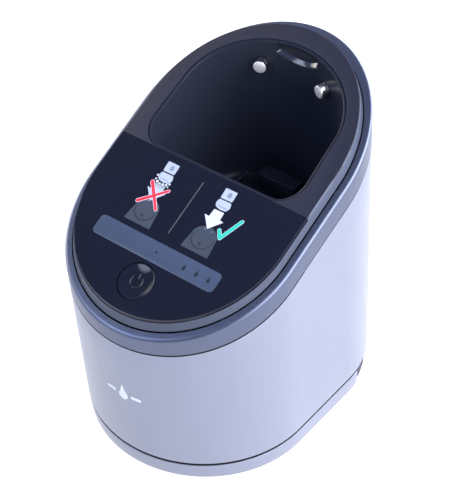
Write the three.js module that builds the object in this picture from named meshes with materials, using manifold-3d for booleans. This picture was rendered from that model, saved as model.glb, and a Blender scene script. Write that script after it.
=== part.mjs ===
// A cleaning and charging station for an electric shaver.
// Millimetres, +Z up, origin on the table under the middle of the body.
// The low end with the start button is the front, -Y. The cartridge slides in at the rear, +Y.
import * as THREE from "three";
import { mergeVertices } from "three/addons/utils/BufferGeometryUtils.js";
import Module from "manifold-3d";

const wasm = await Module();
wasm.setup();

// ---- Driving dimensions ----

// Body: an oval in plan, half ellipses at the front and rear joined by straight sides.
const BODY_WIDTH = 105;
const BODY_DEPTH = 138.6;
const FRONT_CENTRE_Y = -20;
const REAR_CENTRE_Y = 15;
const TOP_HEIGHT = 114.1; // of the sloped top, above the origin
const TOP_SLOPE_DEG = 24.4;
const REAR_LEAN = 0.06; // the rear wall's move inwards for each millimetre further down

// Shells and covers
const SHELL_WALL = 2.4;
const SHELL_BOTTOM_Z = 9.3;
const BAND_WALL = 3.05;
const BAND_SHOULDER = 3.8; // height of the band's rounded upper edge
const SHOULDER_CURVE = [[0.5, 0.42], [1.7, 0.1]]; // its inset, at a share of its height from the top
const BAND_HEIGHT = 14.8; // from the top plane to the band's lower edge, at the middle
const BAND_TILT = 0.5; // with the next two, the curve of that edge from front to rear
const BAND_SAG = 2.4;
const BAND_TWIST = 4.6;
const COVER_INSET = 4.7; // from the body's side to the cover's top edge
const COVER_REAR_INSET = 6.1;
const COVER_DEPTH = 4.6; // the bevelled rim's height
const COVER_BEVEL = 1.25; // how far the rim flares on the way down
const COVER_WALL = 1.6;
const COVER_PLATE = 3; // thickness of the flat part
const PANEL_THICKNESS = 1;
const PANEL_REAR_Y = -3.9;

// Base
const BASE_BOTTOM_Z = 0.8;
const BASE_RING_TOP_Z = 8.8;
const BASE_RING_WALL = 2;
const BASE_TAPER = 0.7;
const BASE_RING_END_Y = 22;
const TRAY_FLOOR_Z = 4;
const TRAY_RIM_Z = 8.2;
const TRAY_WALL = 1.8;
const TRAY_REAR_INSET = 1.2; // behind the ring, where the tray's own edge shows
const FOOT_RADIUS = 5;
const FOOT_CHAMFER = 0.7;
const FOOT_DEPTH = 1.9; // of the part of a foot that sits in the tray
const FOOT_SIDE_INSET = 22.5; // from the body's side, front and rear to the feet
const FOOT_FRONT_INSET = 24.3;
const FOOT_REAR_INSET = 29.3;

// Cartridge bay
const BAY_SIDE_ROOM = 1.1; // from a guide rail to the lift spring beside it
const BAY_MOUTH_TOP_Z = 50;
const BAY_MOUTH_CORNER = 8;
const RAIL_WIDTH = 1.4;
const RAIL_HEIGHT = 8;
const RAIL_FRONT_Y = -40;
const RAIL_END_ROOM = 1.8; // from a rail's rear end to the housing's wall

// Lift guides and springs
const POST_Y = -10;
const POST_RADIUS = 3;
const POST_ENGAGEMENT = 9.5; // left in the sleeve when the housing is up
const SLEEVE_WALL = 1.2;
const SLEEVE_TOP_Z = 90;
const SPRING_WIRE = 0.4; // radius
const SPRING_TURNS = 9;
const LIFT_TRAVEL = 30;

// Latch
const KEEPER_Y = 26;
const KEEPER_SIDE_ROOM = 0.35; // from the shell's wall to a keeper's rear corner
const KEEPER_WIDTH = 3;
const KEEPER_LENGTH = 5;
const KEEPER_NOSE = 2;
const KEEPER_TOP_Z = 84;
const KEEPER_HEAD = 4;
const LATCH_INSET = 8.5;
const LATCH_WALL = 1.8;
const LATCH_TOP_Z = 80;
const LATCH_HEIGHT = 4;
const LUG_LENGTH = 4.2;
const LUG_DROP = 0.5; // of a lug's top under the bar's
const LATCH_SPRING_RADIUS = 2.4;
const LATCH_SPRING_WIRE = 0.3; // radius
const LATCH_SPRING_TURNS = 3;
const RELEASE_WIDTH = 24;
const RELEASE_HEIGHT = 8;
const RELEASE_Z = 80;
const RELEASE_PROUD = 1.4;
const RELEASE_FLANGE = 1.5; // how far the flange behind the wall reaches past the button
const RELEASE_CORNER = 2;

// Chassis
const CHASSIS_Z = 56;
const CHASSIS_THICKNESS = 2.5;
const CHASSIS_INSET = 3;

// Shaver well
const WELL_FRONT_Y = -2.6;
const WELL_REAR_CENTRE_Y = 26;
const RIM_WIDTH = 9.1; // of the cover beside the well
const REAR_RIM_WIDTH = 8.6;
const WELL_NARROWING = 0.8; // of each side, from the front to the rear
const WELL_CORNER = 10;
const WELL_FLOOR_Z = 72;
const WELL_FLOOR_THICKNESS = 2.5;
const WELL_TAPER = 0.78; // the floor's size over the mouth's
const WELL_TAPER_Y = 24;
const WELL_WALL = 2;
const LIP_WALL = 1.1; // of the bowl's lip, which lines the cover's opening
const LIP_BELOW = 0.4; // under the cover's top
const GASKET_HEIGHT = 2;
const GASKET_WIDTH = 2.3;
const SCOOP_HALF_WIDTH = 9.5;
const SCOOP_DEPTH = 1.2;
const DRAIN_Y = 22;
const DRAIN_RADIUS = 5;
const SIEVE_RADIUS = 8.6;
const SIEVE_THICKNESS = 1;
const SIEVE_HOLES = 6;
const SIEVE_HOLE_RADIUS = 1;
const SIEVE_HOLE_CIRCLE = 3;
const SPOUT_RADIUS = 4;
const SPOUT_WALL = 1;
const SPOUT_FLANGE = 3; // past the drain's edge
const SPOUT_TIP_Z = 50;

// Charging contacts
const PIN_X = 16.5; // where a pin's axis meets the well's wall
const PIN_YAW_DEG = 20; // of a pin's axis from front to rear, square to the wall
const PIN_DROP = 11.6; // under the well's rear edge
const PIN_RADIUS = 2.85;
const PIN_PROUD = 3.9; // of the well's wall
const PIN_CHAMFER = 0.7;
const PIN_HEAD_LENGTH = 6.9;
const PIN_SHANK_RADIUS = 1.5;
const PIN_LENGTH = 12.2;
const PIN_TRAVEL = 1.2;
const HOLDER_THICKNESS = 2;
const HOLDER_SIDE = 5.5; // from a pin's axis to its block's side
const HOLDER_BELOW = 6;
const HOLDER_ABOVE = 5;
const LEAF_THICKNESS = 0.5;
const LEAF_WIDTH = 3;

// Start button and indicators
const BUTTON_FRONT_INSET = 16.9; // from the body's front
const BUTTON_RADIUS = 7.9;
const BUTTON_FLANGE = 1.2;
const BUTTON_STEM_RADIUS = 1.8;
const BUTTON_STEM_DEPTH = 5;
const BUTTON_TRAVEL = 0.8;
const BUTTON_DISH = 0.7;
const LENS_BEHIND_BUTTON = 12.6;
const LENS_WIDTH = 63;
const LENS_LENGTH = 8.8;
const LENS_CORNER = 2;
const LENS_THICKNESS = 0.8;
const LENS_SEAT = 1.5; // width of the cover's ledge under the lens's edge
const BOARD_DEPTH = 7.4; // of the display board under the top
const BOARD_THICKNESS = 1.4;
const BOARD_HALF_WIDTH = 33;
const BOARD_FRONT = 22; // in front of the lens's middle
const BOARD_REAR = 4;
const SWITCH_WIDTH = 6;
const SWITCH_HEIGHT = 0.6;
const PLUNGER_RADIUS = 1.4;
const LIGHT_RADIUS = 1.6;
const LIGHT_HEIGHT = 2.7;
const LIGHT_PLACES = { status: 0.3, level_1: 14.8, level_2: 21.1, level_3: 27.2 };

// Pump
const PUMP_X = -18;
const PUMP_Y = -20;
const PUMP_RADIUS = 13;
const PUMP_CAVITY_RADIUS = 10.5;
const PUMP_TOP_Z = 70;
const PUMP_FLOOR = 2;
const PUMP_COVER = 2;
const IMPELLER_RADIUS = 9.4;
const IMPELLER_ROOM = 1.2; // above and below it
const IMPELLER_FLOOR = 1.5; // under the shaft's end
const HUB_RADIUS = 3.4;
const VANES = 6;
const VANE_WIDTH = 1.2;
const SHAFT_RADIUS = 1.5;
const SHAFT_IN_MOTOR = 12;
const MOTOR_RADIUS = 11.5;
const MOTOR_TOP_Z = 94;
const MOTOR_CHAMFER = 1.5;
const PIPE_RADIUS = 2.9;
const PIPE_WALL = 1;
const OUTLET_Z = 66;
const NOZZLE_X = 12;
const NOZZLE_ABOVE_FLOOR = 12;
const NOZZLE_TAIL = 7.4; // of the nozzle in front of the well's mouth
const NOZZLE_PROUD = 2; // of the well's wall
const NOZZLE_BORE = 1.2;
const TUBE_RADIUS = 2;

// Power inlet
const INLET_Z = 65;
const INLET_WIDTH = 16;
const INLET_HEIGHT = 10;
const INLET_DEPTH = 13;
const INLET_MOUTH_WIDTH = 11;
const INLET_MOUTH_HEIGHT = 6.6;
const INLET_MOUTH_DEPTH = 9;
const INLET_SET_BACK = 0.8; // from the rear wall's face
const INLET_PIN_X = 2.5;
const INLET_PIN_RADIUS = 0.8;
const INLET_PIN_LENGTH = 3;

// Fits
const GAP = 0.3; // between pieces that touch
const SLIDE_GAP = 0.35; // round what moves
const ARC_STEPS = 24; // round each end of the body

// ---- Worked out from them ----

const HALF_WIDTH = BODY_WIDTH / 2;
const FRONT_DEPTH = BODY_DEPTH / 2 + FRONT_CENTRE_Y;
const REAR_DEPTH = BODY_DEPTH / 2 - REAR_CENTRE_Y;
const SLOPE_ANGLE = THREE.MathUtils.degToRad(TOP_SLOPE_DEG);
const SLOPE = Math.tan(SLOPE_ANGLE);
const topZ = (y) => TOP_HEIGHT + SLOPE * y;
const SHOULDER_START = COVER_DEPTH + BAND_SHOULDER;
const LEAN_Z = topZ(BODY_DEPTH / 2) - SHOULDER_START; // where the rear wall reaches furthest
const CHASSIS_TOP_Z = CHASSIS_Z + CHASSIS_THICKNESS;
const SLEEVE_BORE = POST_RADIUS + SLIDE_GAP;
const SPRING_RADIUS = POST_RADIUS + SPRING_WIRE + GAP;
const SPRING_OUTER = SPRING_RADIUS + SPRING_WIRE;
const POST_X = HALF_WIDTH - SHELL_WALL - SLEEVE_WALL - SLEEVE_BORE - SLIDE_GAP;
const POST_TOP_Z = CHASSIS_TOP_Z + LIFT_TRAVEL + POST_ENGAGEMENT;
const KEEPER_REAR_Y = KEEPER_Y + KEEPER_LENGTH / 2;
const KEEPER_X = wallX(KEEPER_REAR_Y, SHELL_BOTTOM_Z, SHELL_WALL) - KEEPER_SIDE_ROOM - KEEPER_WIDTH / 2;
const LUG_REAR_Y = KEEPER_Y - KEEPER_LENGTH / 2 - KEEPER_NOSE - GAP;
const LATCH_FRONT_Y = LUG_REAR_Y - LUG_LENGTH;
const BAY_HALF_WIDTH = POST_X - SPRING_OUTER - BAY_SIDE_ROOM - RAIL_WIDTH;
const BAY_MOUTH_HALF_WIDTH = BAY_HALF_WIDTH + RAIL_WIDTH;
const RAIL_REAR_Y = wallY(BAY_MOUTH_HALF_WIDTH, SHELL_BOTTOM_Z, SHELL_WALL) - RAIL_END_ROOM;
const FOOT_X = HALF_WIDTH - FOOT_SIDE_INSET;
const FOOT_FRONT_Y = FOOT_FRONT_INSET - BODY_DEPTH / 2;
const FOOT_REAR_Y = BODY_DEPTH / 2 - FOOT_REAR_INSET;
const FOOT_PLACES = [
  [-FOOT_X, FOOT_FRONT_Y], [FOOT_X, FOOT_FRONT_Y], [-FOOT_X, FOOT_REAR_Y], [FOOT_X, FOOT_REAR_Y],
];
const WELL_HALF_WIDTH = HALF_WIDTH - COVER_INSET - RIM_WIDTH;
const WELL_REAR_HALF_WIDTH = WELL_HALF_WIDTH - WELL_NARROWING;
const WELL_REAR_Y = BODY_DEPTH / 2 - COVER_REAR_INSET - REAR_RIM_WIDTH;
const PIN_Z = topZ(WELL_REAR_Y) - PIN_DROP;
const BUTTON_Y = BUTTON_FRONT_INSET - BODY_DEPTH / 2;
const LENS_Y = BUTTON_Y + LENS_BEHIND_BUTTON;
const WELL_BOTTOM_Z = WELL_FLOOR_Z - WELL_FLOOR_THICKNESS;
const NOZZLE_Z = WELL_FLOOR_Z + NOZZLE_ABOVE_FLOOR;
const NOZZLE_TAIL_Y = WELL_FRONT_Y - NOZZLE_TAIL;
const FAR = HALF_WIDTH * 2; // a box side well outside the body

// ---- Geometry helpers ----

// A closed geometry as a solid.
function solid(geometry) {
  const bare = geometry.index ? geometry.toNonIndexed() : geometry;
  const positions = new THREE.BufferGeometry();
  positions.setAttribute("position", bare.getAttribute("position"));
  const merged = mergeVertices(positions, 1e-4);
  const vertProperties = merged.attributes.position.array;
  const triVerts = new Uint32Array(merged.index.array);
  return new wasm.Manifold(new wasm.Mesh({ numProp: 3, vertProperties, triVerts }));
}

function shapeOf(points) {
  return new THREE.Shape(points);
}

// The body's outline, drawn in by an inset.
function bodyShape(inset = 0, rearInset = inset) {
  const halfWidth = HALF_WIDTH - inset;
  const front = new THREE.EllipseCurve(
    0, FRONT_CENTRE_Y, halfWidth, FRONT_DEPTH - inset, Math.PI, 2 * Math.PI);
  const rear = new THREE.EllipseCurve(
    0, REAR_CENTRE_Y, halfWidth, REAR_DEPTH - rearInset, 0, Math.PI);
  return shapeOf([...front.getPoints(ARC_STEPS), ...rear.getPoints(ARC_STEPS)]);
}

// The well's outline: straight front edge, round corners, an elliptical rear.
function wellShape(grow = 0) {
  const half = WELL_HALF_WIDTH + grow;
  const corner = WELL_CORNER + grow;
  const front = WELL_FRONT_Y - grow;
  const shape = new THREE.Shape();
  shape.moveTo(-half + corner, front);
  shape.lineTo(half - corner, front);
  shape.absarc(half - corner, front + corner, corner, -Math.PI / 2, 0, false);
  shape.absellipse(
    0, WELL_REAR_CENTRE_Y, WELL_REAR_HALF_WIDTH + grow,
    WELL_REAR_Y - WELL_REAR_CENTRE_Y + grow, 0, Math.PI, false, 0);
  shape.absarc(-half + corner, front + corner, corner, Math.PI, 1.5 * Math.PI, false);
  return shape;
}

function roundedRectangle(width, height, radius) {
  const shape = new THREE.Shape();
  const x = width / 2 - radius;
  const y = height / 2 - radius;
  shape.moveTo(-x, -y - radius);
  shape.lineTo(x, -y - radius);
  shape.absarc(x, -y, radius, -Math.PI / 2, 0, false);
  shape.absarc(x, y, radius, 0, Math.PI / 2, false);
  shape.absarc(-x, y, radius, Math.PI / 2, Math.PI, false);
  shape.absarc(-x, -y, radius, Math.PI, 1.5 * Math.PI, false);
  return shape;
}

// Extrudes a shape through one layer for each level, then puts each point where its level says.
function layered(shape, levels, place, curveSegments = 8) {
  const steps = levels.length - 1;
  const geometry = new THREE.ExtrudeGeometry(
    shape, { depth: steps, steps, bevelEnabled: false, curveSegments });
  const positions = geometry.getAttribute("position");
  for (let i = 0; i < positions.count; i++) {
    const level = levels[Math.round(positions.getZ(i))];
    positions.setXYZ(i, ...place(positions.getX(i), positions.getY(i), level));
  }
  return solid(geometry);
}

// Draws a point of the body's outline in by a further inset.
function drawnIn(x, y, inset) {
  const across = x * (HALF_WIDTH - inset) / HALF_WIDTH;
  if (y < FRONT_CENTRE_Y) {
    const scale = (FRONT_DEPTH - inset) / FRONT_DEPTH;
    return [across, FRONT_CENTRE_Y + (y - FRONT_CENTRE_Y) * scale];
  }
  if (y > REAR_CENTRE_Y) {
    const scale = (REAR_DEPTH - inset) / REAR_DEPTH;
    return [across, REAR_CENTRE_Y + (y - REAR_CENTRE_Y) * scale];
  }
  return [across, y];
}

// Leans the rear of the body in towards its foot.
function leaned(x, y, z) {
  if (y <= REAR_CENTRE_Y) return [x, y, z];
  const scale = 1 - REAR_LEAN * (LEAN_Z - z) / REAR_DEPTH;
  return [x, REAR_CENTRE_Y + (y - REAR_CENTRE_Y) * scale, z];
}

// The rear wall's place at a distance from the middle and a height, drawn in by an inset.
function wallY(x, z, inset = 0) {
  const share = x / (HALF_WIDTH - inset);
  const y = REAR_CENTRE_Y + (REAR_DEPTH - inset) * Math.sqrt(1 - share ** 2);
  return leaned(x, y, z)[1];
}

// How far from the middle the wall is, behind the rear centre.
function wallX(y, z, inset = 0) {
  const lean = leaned(0, REAR_CENTRE_Y + 1, z)[1] - REAR_CENTRE_Y;
  const share = (y - REAR_CENTRE_Y) / lean / (REAR_DEPTH - inset);
  return (HALF_WIDTH - inset) * Math.sqrt(1 - share ** 2);
}

// A block with the body's outline. A level is { inset, z } or { inset, below }, under the top.
function bodyBlock(levels, inset = 0, rearInset = inset) {
  return layered(bodyShape(inset, rearInset), levels, (x, y, level) => {
    const [u, v] = drawnIn(x, y, level.inset ?? 0);
    const z = level.below === undefined ? level.z : topZ(v) - level.below;
    return leaned(u, v, z);
  });
}

// The same with the cover's outline, which doesn't lean.
function coverBlock(top, bottom, grow = 0) {
  const shape = bodyShape(COVER_INSET - grow, COVER_REAR_INSET - grow);
  return layered(shape, [{ below: bottom }, { below: top }], (x, y, level) => {
    const flare = COVER_BEVEL * level.below / COVER_DEPTH;
    const [u, v] = drawnIn(x, y, -flare);
    return [u, v, topZ(v) - level.below];
  });
}

// How much narrower the well is at a height, below the point of its mouth at a given y.
function wellScale(y, z) {
  const mouthZ = topZ(y);
  return 1 - (1 - WELL_TAPER) * (mouthZ - z) / (mouthZ - WELL_FLOOR_Z);
}

// The well's rear wall at a distance from the middle and a height.
function wellRearWallY(x, z) {
  const scale = wellScale(WELL_REAR_Y, z);
  const share = x / (WELL_REAR_HALF_WIDTH * scale);
  const y = WELL_REAR_CENTRE_Y + (WELL_REAR_Y - WELL_REAR_CENTRE_Y) * Math.sqrt(1 - share ** 2);
  return WELL_TAPER_Y + (y - WELL_TAPER_Y) * scale;
}

// A block with the well's tapering outline, from a height up to a depth under the sloped top.
function wellBlock(grow, bottomZ, below) {
  const levels = [{ z: bottomZ }, { below }];
  return layered(wellShape(grow), levels, (x, y, level) => {
    const scale = wellScale(y, level.z ?? topZ(y) - level.below);
    const v = WELL_TAPER_Y + (y - WELL_TAPER_Y) * scale;
    return [x * scale, v, level.z ?? topZ(v) - level.below];
  });
}

function prism(shape, bottom, top, curveSegments = 8) {
  const geometry = new THREE.ExtrudeGeometry(
    shape, { depth: top - bottom, bevelEnabled: false, curveSegments });
  return solid(geometry.translate(0, 0, bottom));
}

// A box from its low corner to its high corner.
function box(low, high) {
  const size = high.map((value, i) => value - low[i]);
  const centre = high.map((value, i) => (value + low[i]) / 2);
  return solid(new THREE.BoxGeometry(...size).translate(...centre));
}

// A solid of revolution about Z from a profile of [radius, height], going up its outside.
function turned(profile, segments = 24) {
  const points = profile.map(([radius, height]) => new THREE.Vector2(radius, height));
  return solid(new THREE.LatheGeometry(points, segments).rotateX(Math.PI / 2));
}

function cylinder(radius, bottom, top, segments = 24) {
  return turned([[0, bottom], [radius, bottom], [radius, top], [0, top]], segments);
}

// A ring: outer and inner radius between two heights.
function ring(outer, inner, bottom, top, segments = 24) {
  const profile = [[inner, bottom], [outer, bottom], [outer, top], [inner, top], [inner, bottom]];
  return turned(profile, segments);
}

const moved = (piece, x, y, z = 0) => piece.translate([x, y, z]);
const alongY = (piece) => piece.rotate([-90, 0, 0]);
const alongX = (piece) => piece.rotate([0, 90, 0]);

// Stands a piece made about the origin on the sloped top, at a place given in plan.
function onTop(piece, x, y) {
  return piece.rotate([TOP_SLOPE_DEG, 0, 0]).translate([x, y, topZ(y)]);
}

// A tube or rod that follows a curve.
function swept(path, shape, steps) {
  const options = { extrudePath: path, steps, bevelEnabled: false, curveSegments: 2 };
  return solid(new THREE.ExtrudeGeometry(shape, options));
}

function roundSection(radius, sides) {
  const points = [];
  for (let i = 0; i < sides; i++) {
    const angle = 2 * Math.PI * i / sides;
    points.push(new THREE.Vector2(radius * Math.cos(angle), radius * Math.sin(angle)));
  }
  return shapeOf(points);
}

class Helix extends THREE.Curve {
  constructor(radius, turns, length) {
    super();
    Object.assign(this, { radius, turns, length });
  }
  getPoint(t, target = new THREE.Vector3()) {
    const angle = 2 * Math.PI * this.turns * t;
    return target.set(
      this.radius * Math.cos(angle), this.radius * Math.sin(angle), this.length * t);
  }
}

// ---- The group of named meshes ----

const station = new THREE.Group();
const FINISHES = {
  silver: { color: 0xb4b8c8, roughness: 0.34, metalness: 0.85 },
  band: { color: 0x59617d, roughness: 0.3, metalness: 0.7 },
  matte_black: { color: 0x1d1b20, roughness: 0.62, metalness: 0 },
  gloss_black: { color: 0x0d0f18, roughness: 0.1, metalness: 0 },
  lens: { color: 0x46536b, roughness: 0.2, metalness: 0 },
  steel: { color: 0xc0c2c6, roughness: 0.25, metalness: 1 },
  copper: { color: 0xb06a3c, roughness: 0.35, metalness: 1 },
  rubber: { color: 0x222222, roughness: 0.9, metalness: 0 },
  white_plastic: { color: 0xd9d9d4, roughness: 0.5, metalness: 0 },
  grey_plastic: { color: 0x6c7078, roughness: 0.55, metalness: 0 },
  board: { color: 0x1f5a38, roughness: 0.5, metalness: 0.1 },
  tube: { color: 0xc9ccc8, roughness: 0.35, metalness: 0 },
  light: { color: 0xdfe8f2, roughness: 0.2, metalness: 0 },
};

function add(name, piece, finish) {
  const { vertProperties, triVerts } = piece.getMesh();
  const geometry = new THREE.BufferGeometry();
  geometry.setAttribute("position", new THREE.BufferAttribute(vertProperties, 3));
  geometry.setIndex(new THREE.BufferAttribute(triVerts, 1));
  geometry.computeVertexNormals();
  const mesh = new THREE.Mesh(geometry, new THREE.MeshStandardMaterial(FINISHES[finish]));
  mesh.name = name;
  station.add(mesh);
}

const SIDES = { left: -1, right: 1 };

// ---- Base ----

function baseRing() {
  const outside = bodyBlock([
    { inset: BASE_TAPER, z: BASE_BOTTOM_Z },
    { inset: 0, z: BASE_RING_TOP_Z },
  ]);
  const inside = bodyBlock([{ z: BASE_BOTTOM_Z - 1 }, { z: BASE_RING_TOP_Z + 1 }],
    BASE_TAPER + BASE_RING_WALL);
  const rear = box([-FAR, BASE_RING_END_Y, -1], [FAR, BODY_DEPTH, BASE_RING_TOP_Z + 1]);
  return outside.subtract(inside).subtract(rear);
}

// The screws that hold the guide posts and the keepers from below.
const SCREW_PLACES = [];
for (const side of Object.values(SIDES)) {
  SCREW_PLACES.push([side * POST_X, POST_Y], [side * KEEPER_X, KEEPER_Y]);
}
const SCREW_HEAD_RADIUS = 2.2;
const SCREW_RADIUS = 1;
const SCREW_HEAD_DEPTH = 1.4;
const SCREW_LENGTH = 10;

function baseTray() {
  const innerInset = BASE_TAPER + BASE_RING_WALL + GAP;
  const levels = [{ z: BASE_BOTTOM_Z }, { z: TRAY_RIM_Z }];
  const rearStart = BASE_RING_END_Y + GAP;
  const high = TRAY_RIM_Z + 1;
  const rearHalf = box([-FAR, rearStart, -1], [FAR, BODY_DEPTH, high]);
  let tray = bodyBlock(levels, innerInset).add(bodyBlock(levels, TRAY_REAR_INSET).intersect(rearHalf));
  const pocket = bodyBlock([{ z: TRAY_FLOOR_Z }, { z: high }], innerInset + TRAY_WALL);
  const mouth = box([-BAY_HALF_WIDTH, BASE_RING_END_Y, TRAY_FLOOR_Z],
    [BAY_HALF_WIDTH, BODY_DEPTH, high]);
  tray = tray.subtract(pocket).subtract(mouth);
  for (const side of Object.values(SIDES)) {
    const x = side * (BAY_HALF_WIDTH + RAIL_WIDTH / 2);
    tray = tray.add(box([x - RAIL_WIDTH / 2, RAIL_FRONT_Y, BASE_BOTTOM_Z],
      [x + RAIL_WIDTH / 2, RAIL_REAR_Y, TRAY_FLOOR_Z + RAIL_HEIGHT]));
  }
  const reliefHalf = [KEEPER_WIDTH / 2 + GAP, KEEPER_LENGTH / 2 + GAP];
  for (const side of Object.values(SIDES)) {
    tray = tray.subtract(moved(cylinder(SPRING_OUTER + GAP, TRAY_FLOOR_Z, high, 20),
      side * POST_X, POST_Y));
    tray = tray.subtract(box(
      [side * KEEPER_X - reliefHalf[0], KEEPER_Y - reliefHalf[1], TRAY_FLOOR_Z],
      [side * KEEPER_X + reliefHalf[0], KEEPER_Y + reliefHalf[1], high]));
  }
  for (const [x, y] of FOOT_PLACES) {
    const socket = cylinder(FOOT_RADIUS + GAP, 0, BASE_BOTTOM_Z + FOOT_DEPTH + GAP);
    tray = tray.subtract(moved(socket, x, y));
  }
  for (const [x, y] of SCREW_PLACES) {
    const sink = cylinder(SCREW_HEAD_RADIUS + GAP, 0, BASE_BOTTOM_Z + SCREW_HEAD_DEPTH + GAP, 12);
    const hole = cylinder(SCREW_RADIUS + GAP, 0, TRAY_FLOOR_Z + 1, 12);
    tray = tray.subtract(moved(sink.add(hole), x, y));
  }
  return tray;
}

function foot() {
  const top = BASE_BOTTOM_Z + FOOT_DEPTH;
  return turned([
    [0, 0], [FOOT_RADIUS - FOOT_CHAMFER, 0], [FOOT_RADIUS, FOOT_CHAMFER], [FOOT_RADIUS, top], [0, top],
  ], 20);
}

function baseScrew() {
  const head = BASE_BOTTOM_Z;
  const shoulder = head + SCREW_HEAD_DEPTH;
  const tip = head + SCREW_LENGTH;
  return turned([
    [0, head], [SCREW_HEAD_RADIUS, head], [SCREW_HEAD_RADIUS, shoulder],
    [SCREW_RADIUS, shoulder], [SCREW_RADIUS, tip - 1], [0, tip],
  ], 12);
}

const STAND_Z = TRAY_FLOOR_Z + GAP; // where what stands on the tray begins
const BORE_TOP_Z = BASE_BOTTOM_Z + SCREW_LENGTH + 1;

function guidePost() {
  const bore = SCREW_RADIUS + GAP;
  return turned([
    [0, BORE_TOP_Z], [bore, BORE_TOP_Z], [bore, STAND_Z], [POST_RADIUS, STAND_Z],
    [POST_RADIUS, POST_TOP_Z - 1], [POST_RADIUS - 1, POST_TOP_Z], [0, POST_TOP_Z],
  ], 20);
}

function liftSpring() {
  const ends = SPRING_WIRE + GAP;
  const low = STAND_Z + ends;
  const high = CHASSIS_Z - ends;
  const path = new Helix(SPRING_RADIUS, SPRING_TURNS, high - low);
  return swept(path, roundSection(SPRING_WIRE, 5), SPRING_TURNS * 8).translate([0, 0, low]);
}

// A post whose nose faces forward, for the latch to hook under.
function keeper(x) {
  const left = x - KEEPER_WIDTH / 2;
  const right = x + KEEPER_WIDTH / 2;
  const front = KEEPER_Y - KEEPER_LENGTH / 2;
  const post = box([left, front, STAND_Z], [right, KEEPER_REAR_Y, KEEPER_TOP_Z]);
  const nose = box([left, front - KEEPER_NOSE, KEEPER_TOP_Z - KEEPER_HEAD],
    [right, KEEPER_REAR_Y, KEEPER_TOP_Z]);
  const bore = moved(cylinder(SCREW_RADIUS + GAP, STAND_Z - 1, BORE_TOP_Z, 12), x, KEEPER_Y);
  return post.add(nose).subtract(bore);
}

add("base_ring", baseRing(), "silver");
add("base_tray", baseTray(), "matte_black");
FOOT_PLACES.forEach(([x, y], i) => add(`rubber_foot_${i + 1}`, moved(foot(), x, y), "rubber"));
SCREW_PLACES.forEach(([x, y], i) => add(`base_screw_${i + 1}`, moved(baseScrew(), x, y), "steel"));
for (const [name, side] of Object.entries(SIDES)) {
  add(`guide_post_${name}`, moved(guidePost(), side * POST_X, POST_Y), "steel");
  add(`lift_spring_${name}`, moved(liftSpring(), side * POST_X, POST_Y), "steel");
  add(`latch_keeper_${name}`, keeper(side * KEEPER_X), "steel");
}

// ---- Housing shells ----

// Where the trim band's lower edge lies, at a distance from front to rear.
function bandEdgeZ(y) {
  const t = y / (BODY_DEPTH / 2);
  return topZ(y) - BAND_HEIGHT - BAND_TILT * t - BAND_SAG * t ** 2 - BAND_TWIST * t ** 3;
}

// Everything under the band's lower edge, moved up or down by an offset.
function underBand(offset) {
  const reach = BODY_DEPTH / 2 + 5;
  const points = [new THREE.Vector2(-reach, -10)];
  const steps = 16;
  for (let i = 0; i <= steps; i++) {
    const y = -reach + 2 * reach * i / steps;
    points.push(new THREE.Vector2(y, bandEdgeZ(y) + offset));
  }
  points.push(new THREE.Vector2(reach, -10));
  const across = new THREE.ExtrudeGeometry(
    shapeOf(points), { depth: 2 * FAR, bevelEnabled: false });
  across.translate(0, 0, -FAR);
  // The profile's axes, Y and Z, come from the shape's X and Y.
  across.applyMatrix4(new THREE.Matrix4().set(0, 0, 1, 0, 1, 0, 0, 0, 0, 1, 0, 0, 0, 0, 0, 1));
  return solid(across);
}

// A hole through the rear wall, by its width, height and middle height.
function rearHole(width, height, z, corner) {
  const hole = prism(roundedRectangle(width, height, corner), 0, BODY_DEPTH, 4);
  return hole.rotate([-90, 0, 0]).translate([0, REAR_CENTRE_Y + REAR_DEPTH / 2, z]);
}

function housingShell() {
  const high = topZ(BODY_DEPTH / 2);
  const outside = bodyBlock([{ z: SHELL_BOTTOM_Z }, { z: high }]);
  const inside = bodyBlock([{ z: SHELL_BOTTOM_Z - 1 }, { z: high + 1 }], SHELL_WALL);
  const mouthHeight = BAY_MOUTH_TOP_Z + BAY_MOUTH_CORNER * 2;
  const mouth = rearHole(BAY_MOUTH_HALF_WIDTH * 2, mouthHeight,
    BAY_MOUTH_TOP_Z - mouthHeight / 2, BAY_MOUTH_CORNER);
  const release = rearHole(RELEASE_WIDTH + 2 * SLIDE_GAP, RELEASE_HEIGHT + 2 * SLIDE_GAP,
    RELEASE_Z, RELEASE_CORNER);
  const inlet = rearHole(INLET_WIDTH + 2 * GAP, INLET_HEIGHT + 2 * GAP, INLET_Z, 1);
  return outside.subtract(inside).subtract(mouth).subtract(release).subtract(inlet)
    .intersect(underBand(-GAP));
}

function trimBand() {
  const outside = bodyBlock([
    { inset: 0, below: 40 },
    { inset: 0, below: SHOULDER_START },
    ...SHOULDER_CURVE.map(([inset, share]) => ({ inset, below: COVER_DEPTH + BAND_SHOULDER * share })),
    { inset: BAND_WALL, below: COVER_DEPTH },
  ]);
  const inside = bodyBlock([{ below: 60 }, { below: 0 }], BAND_WALL);
  return outside.subtract(inside).subtract(underBand(0));
}

// The button's shaft through the cover and the panel.
function buttonHole() {
  const hole = cylinder(BUTTON_RADIUS + SLIDE_GAP, -2 * COVER_DEPTH, 2, 32);
  return onTop(hole, 0, BUTTON_Y);
}

function inFrontOf(y) {
  return box([-FAR, -BODY_DEPTH, 0], [FAR, y, 2 * TOP_HEIGHT]);
}

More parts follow.
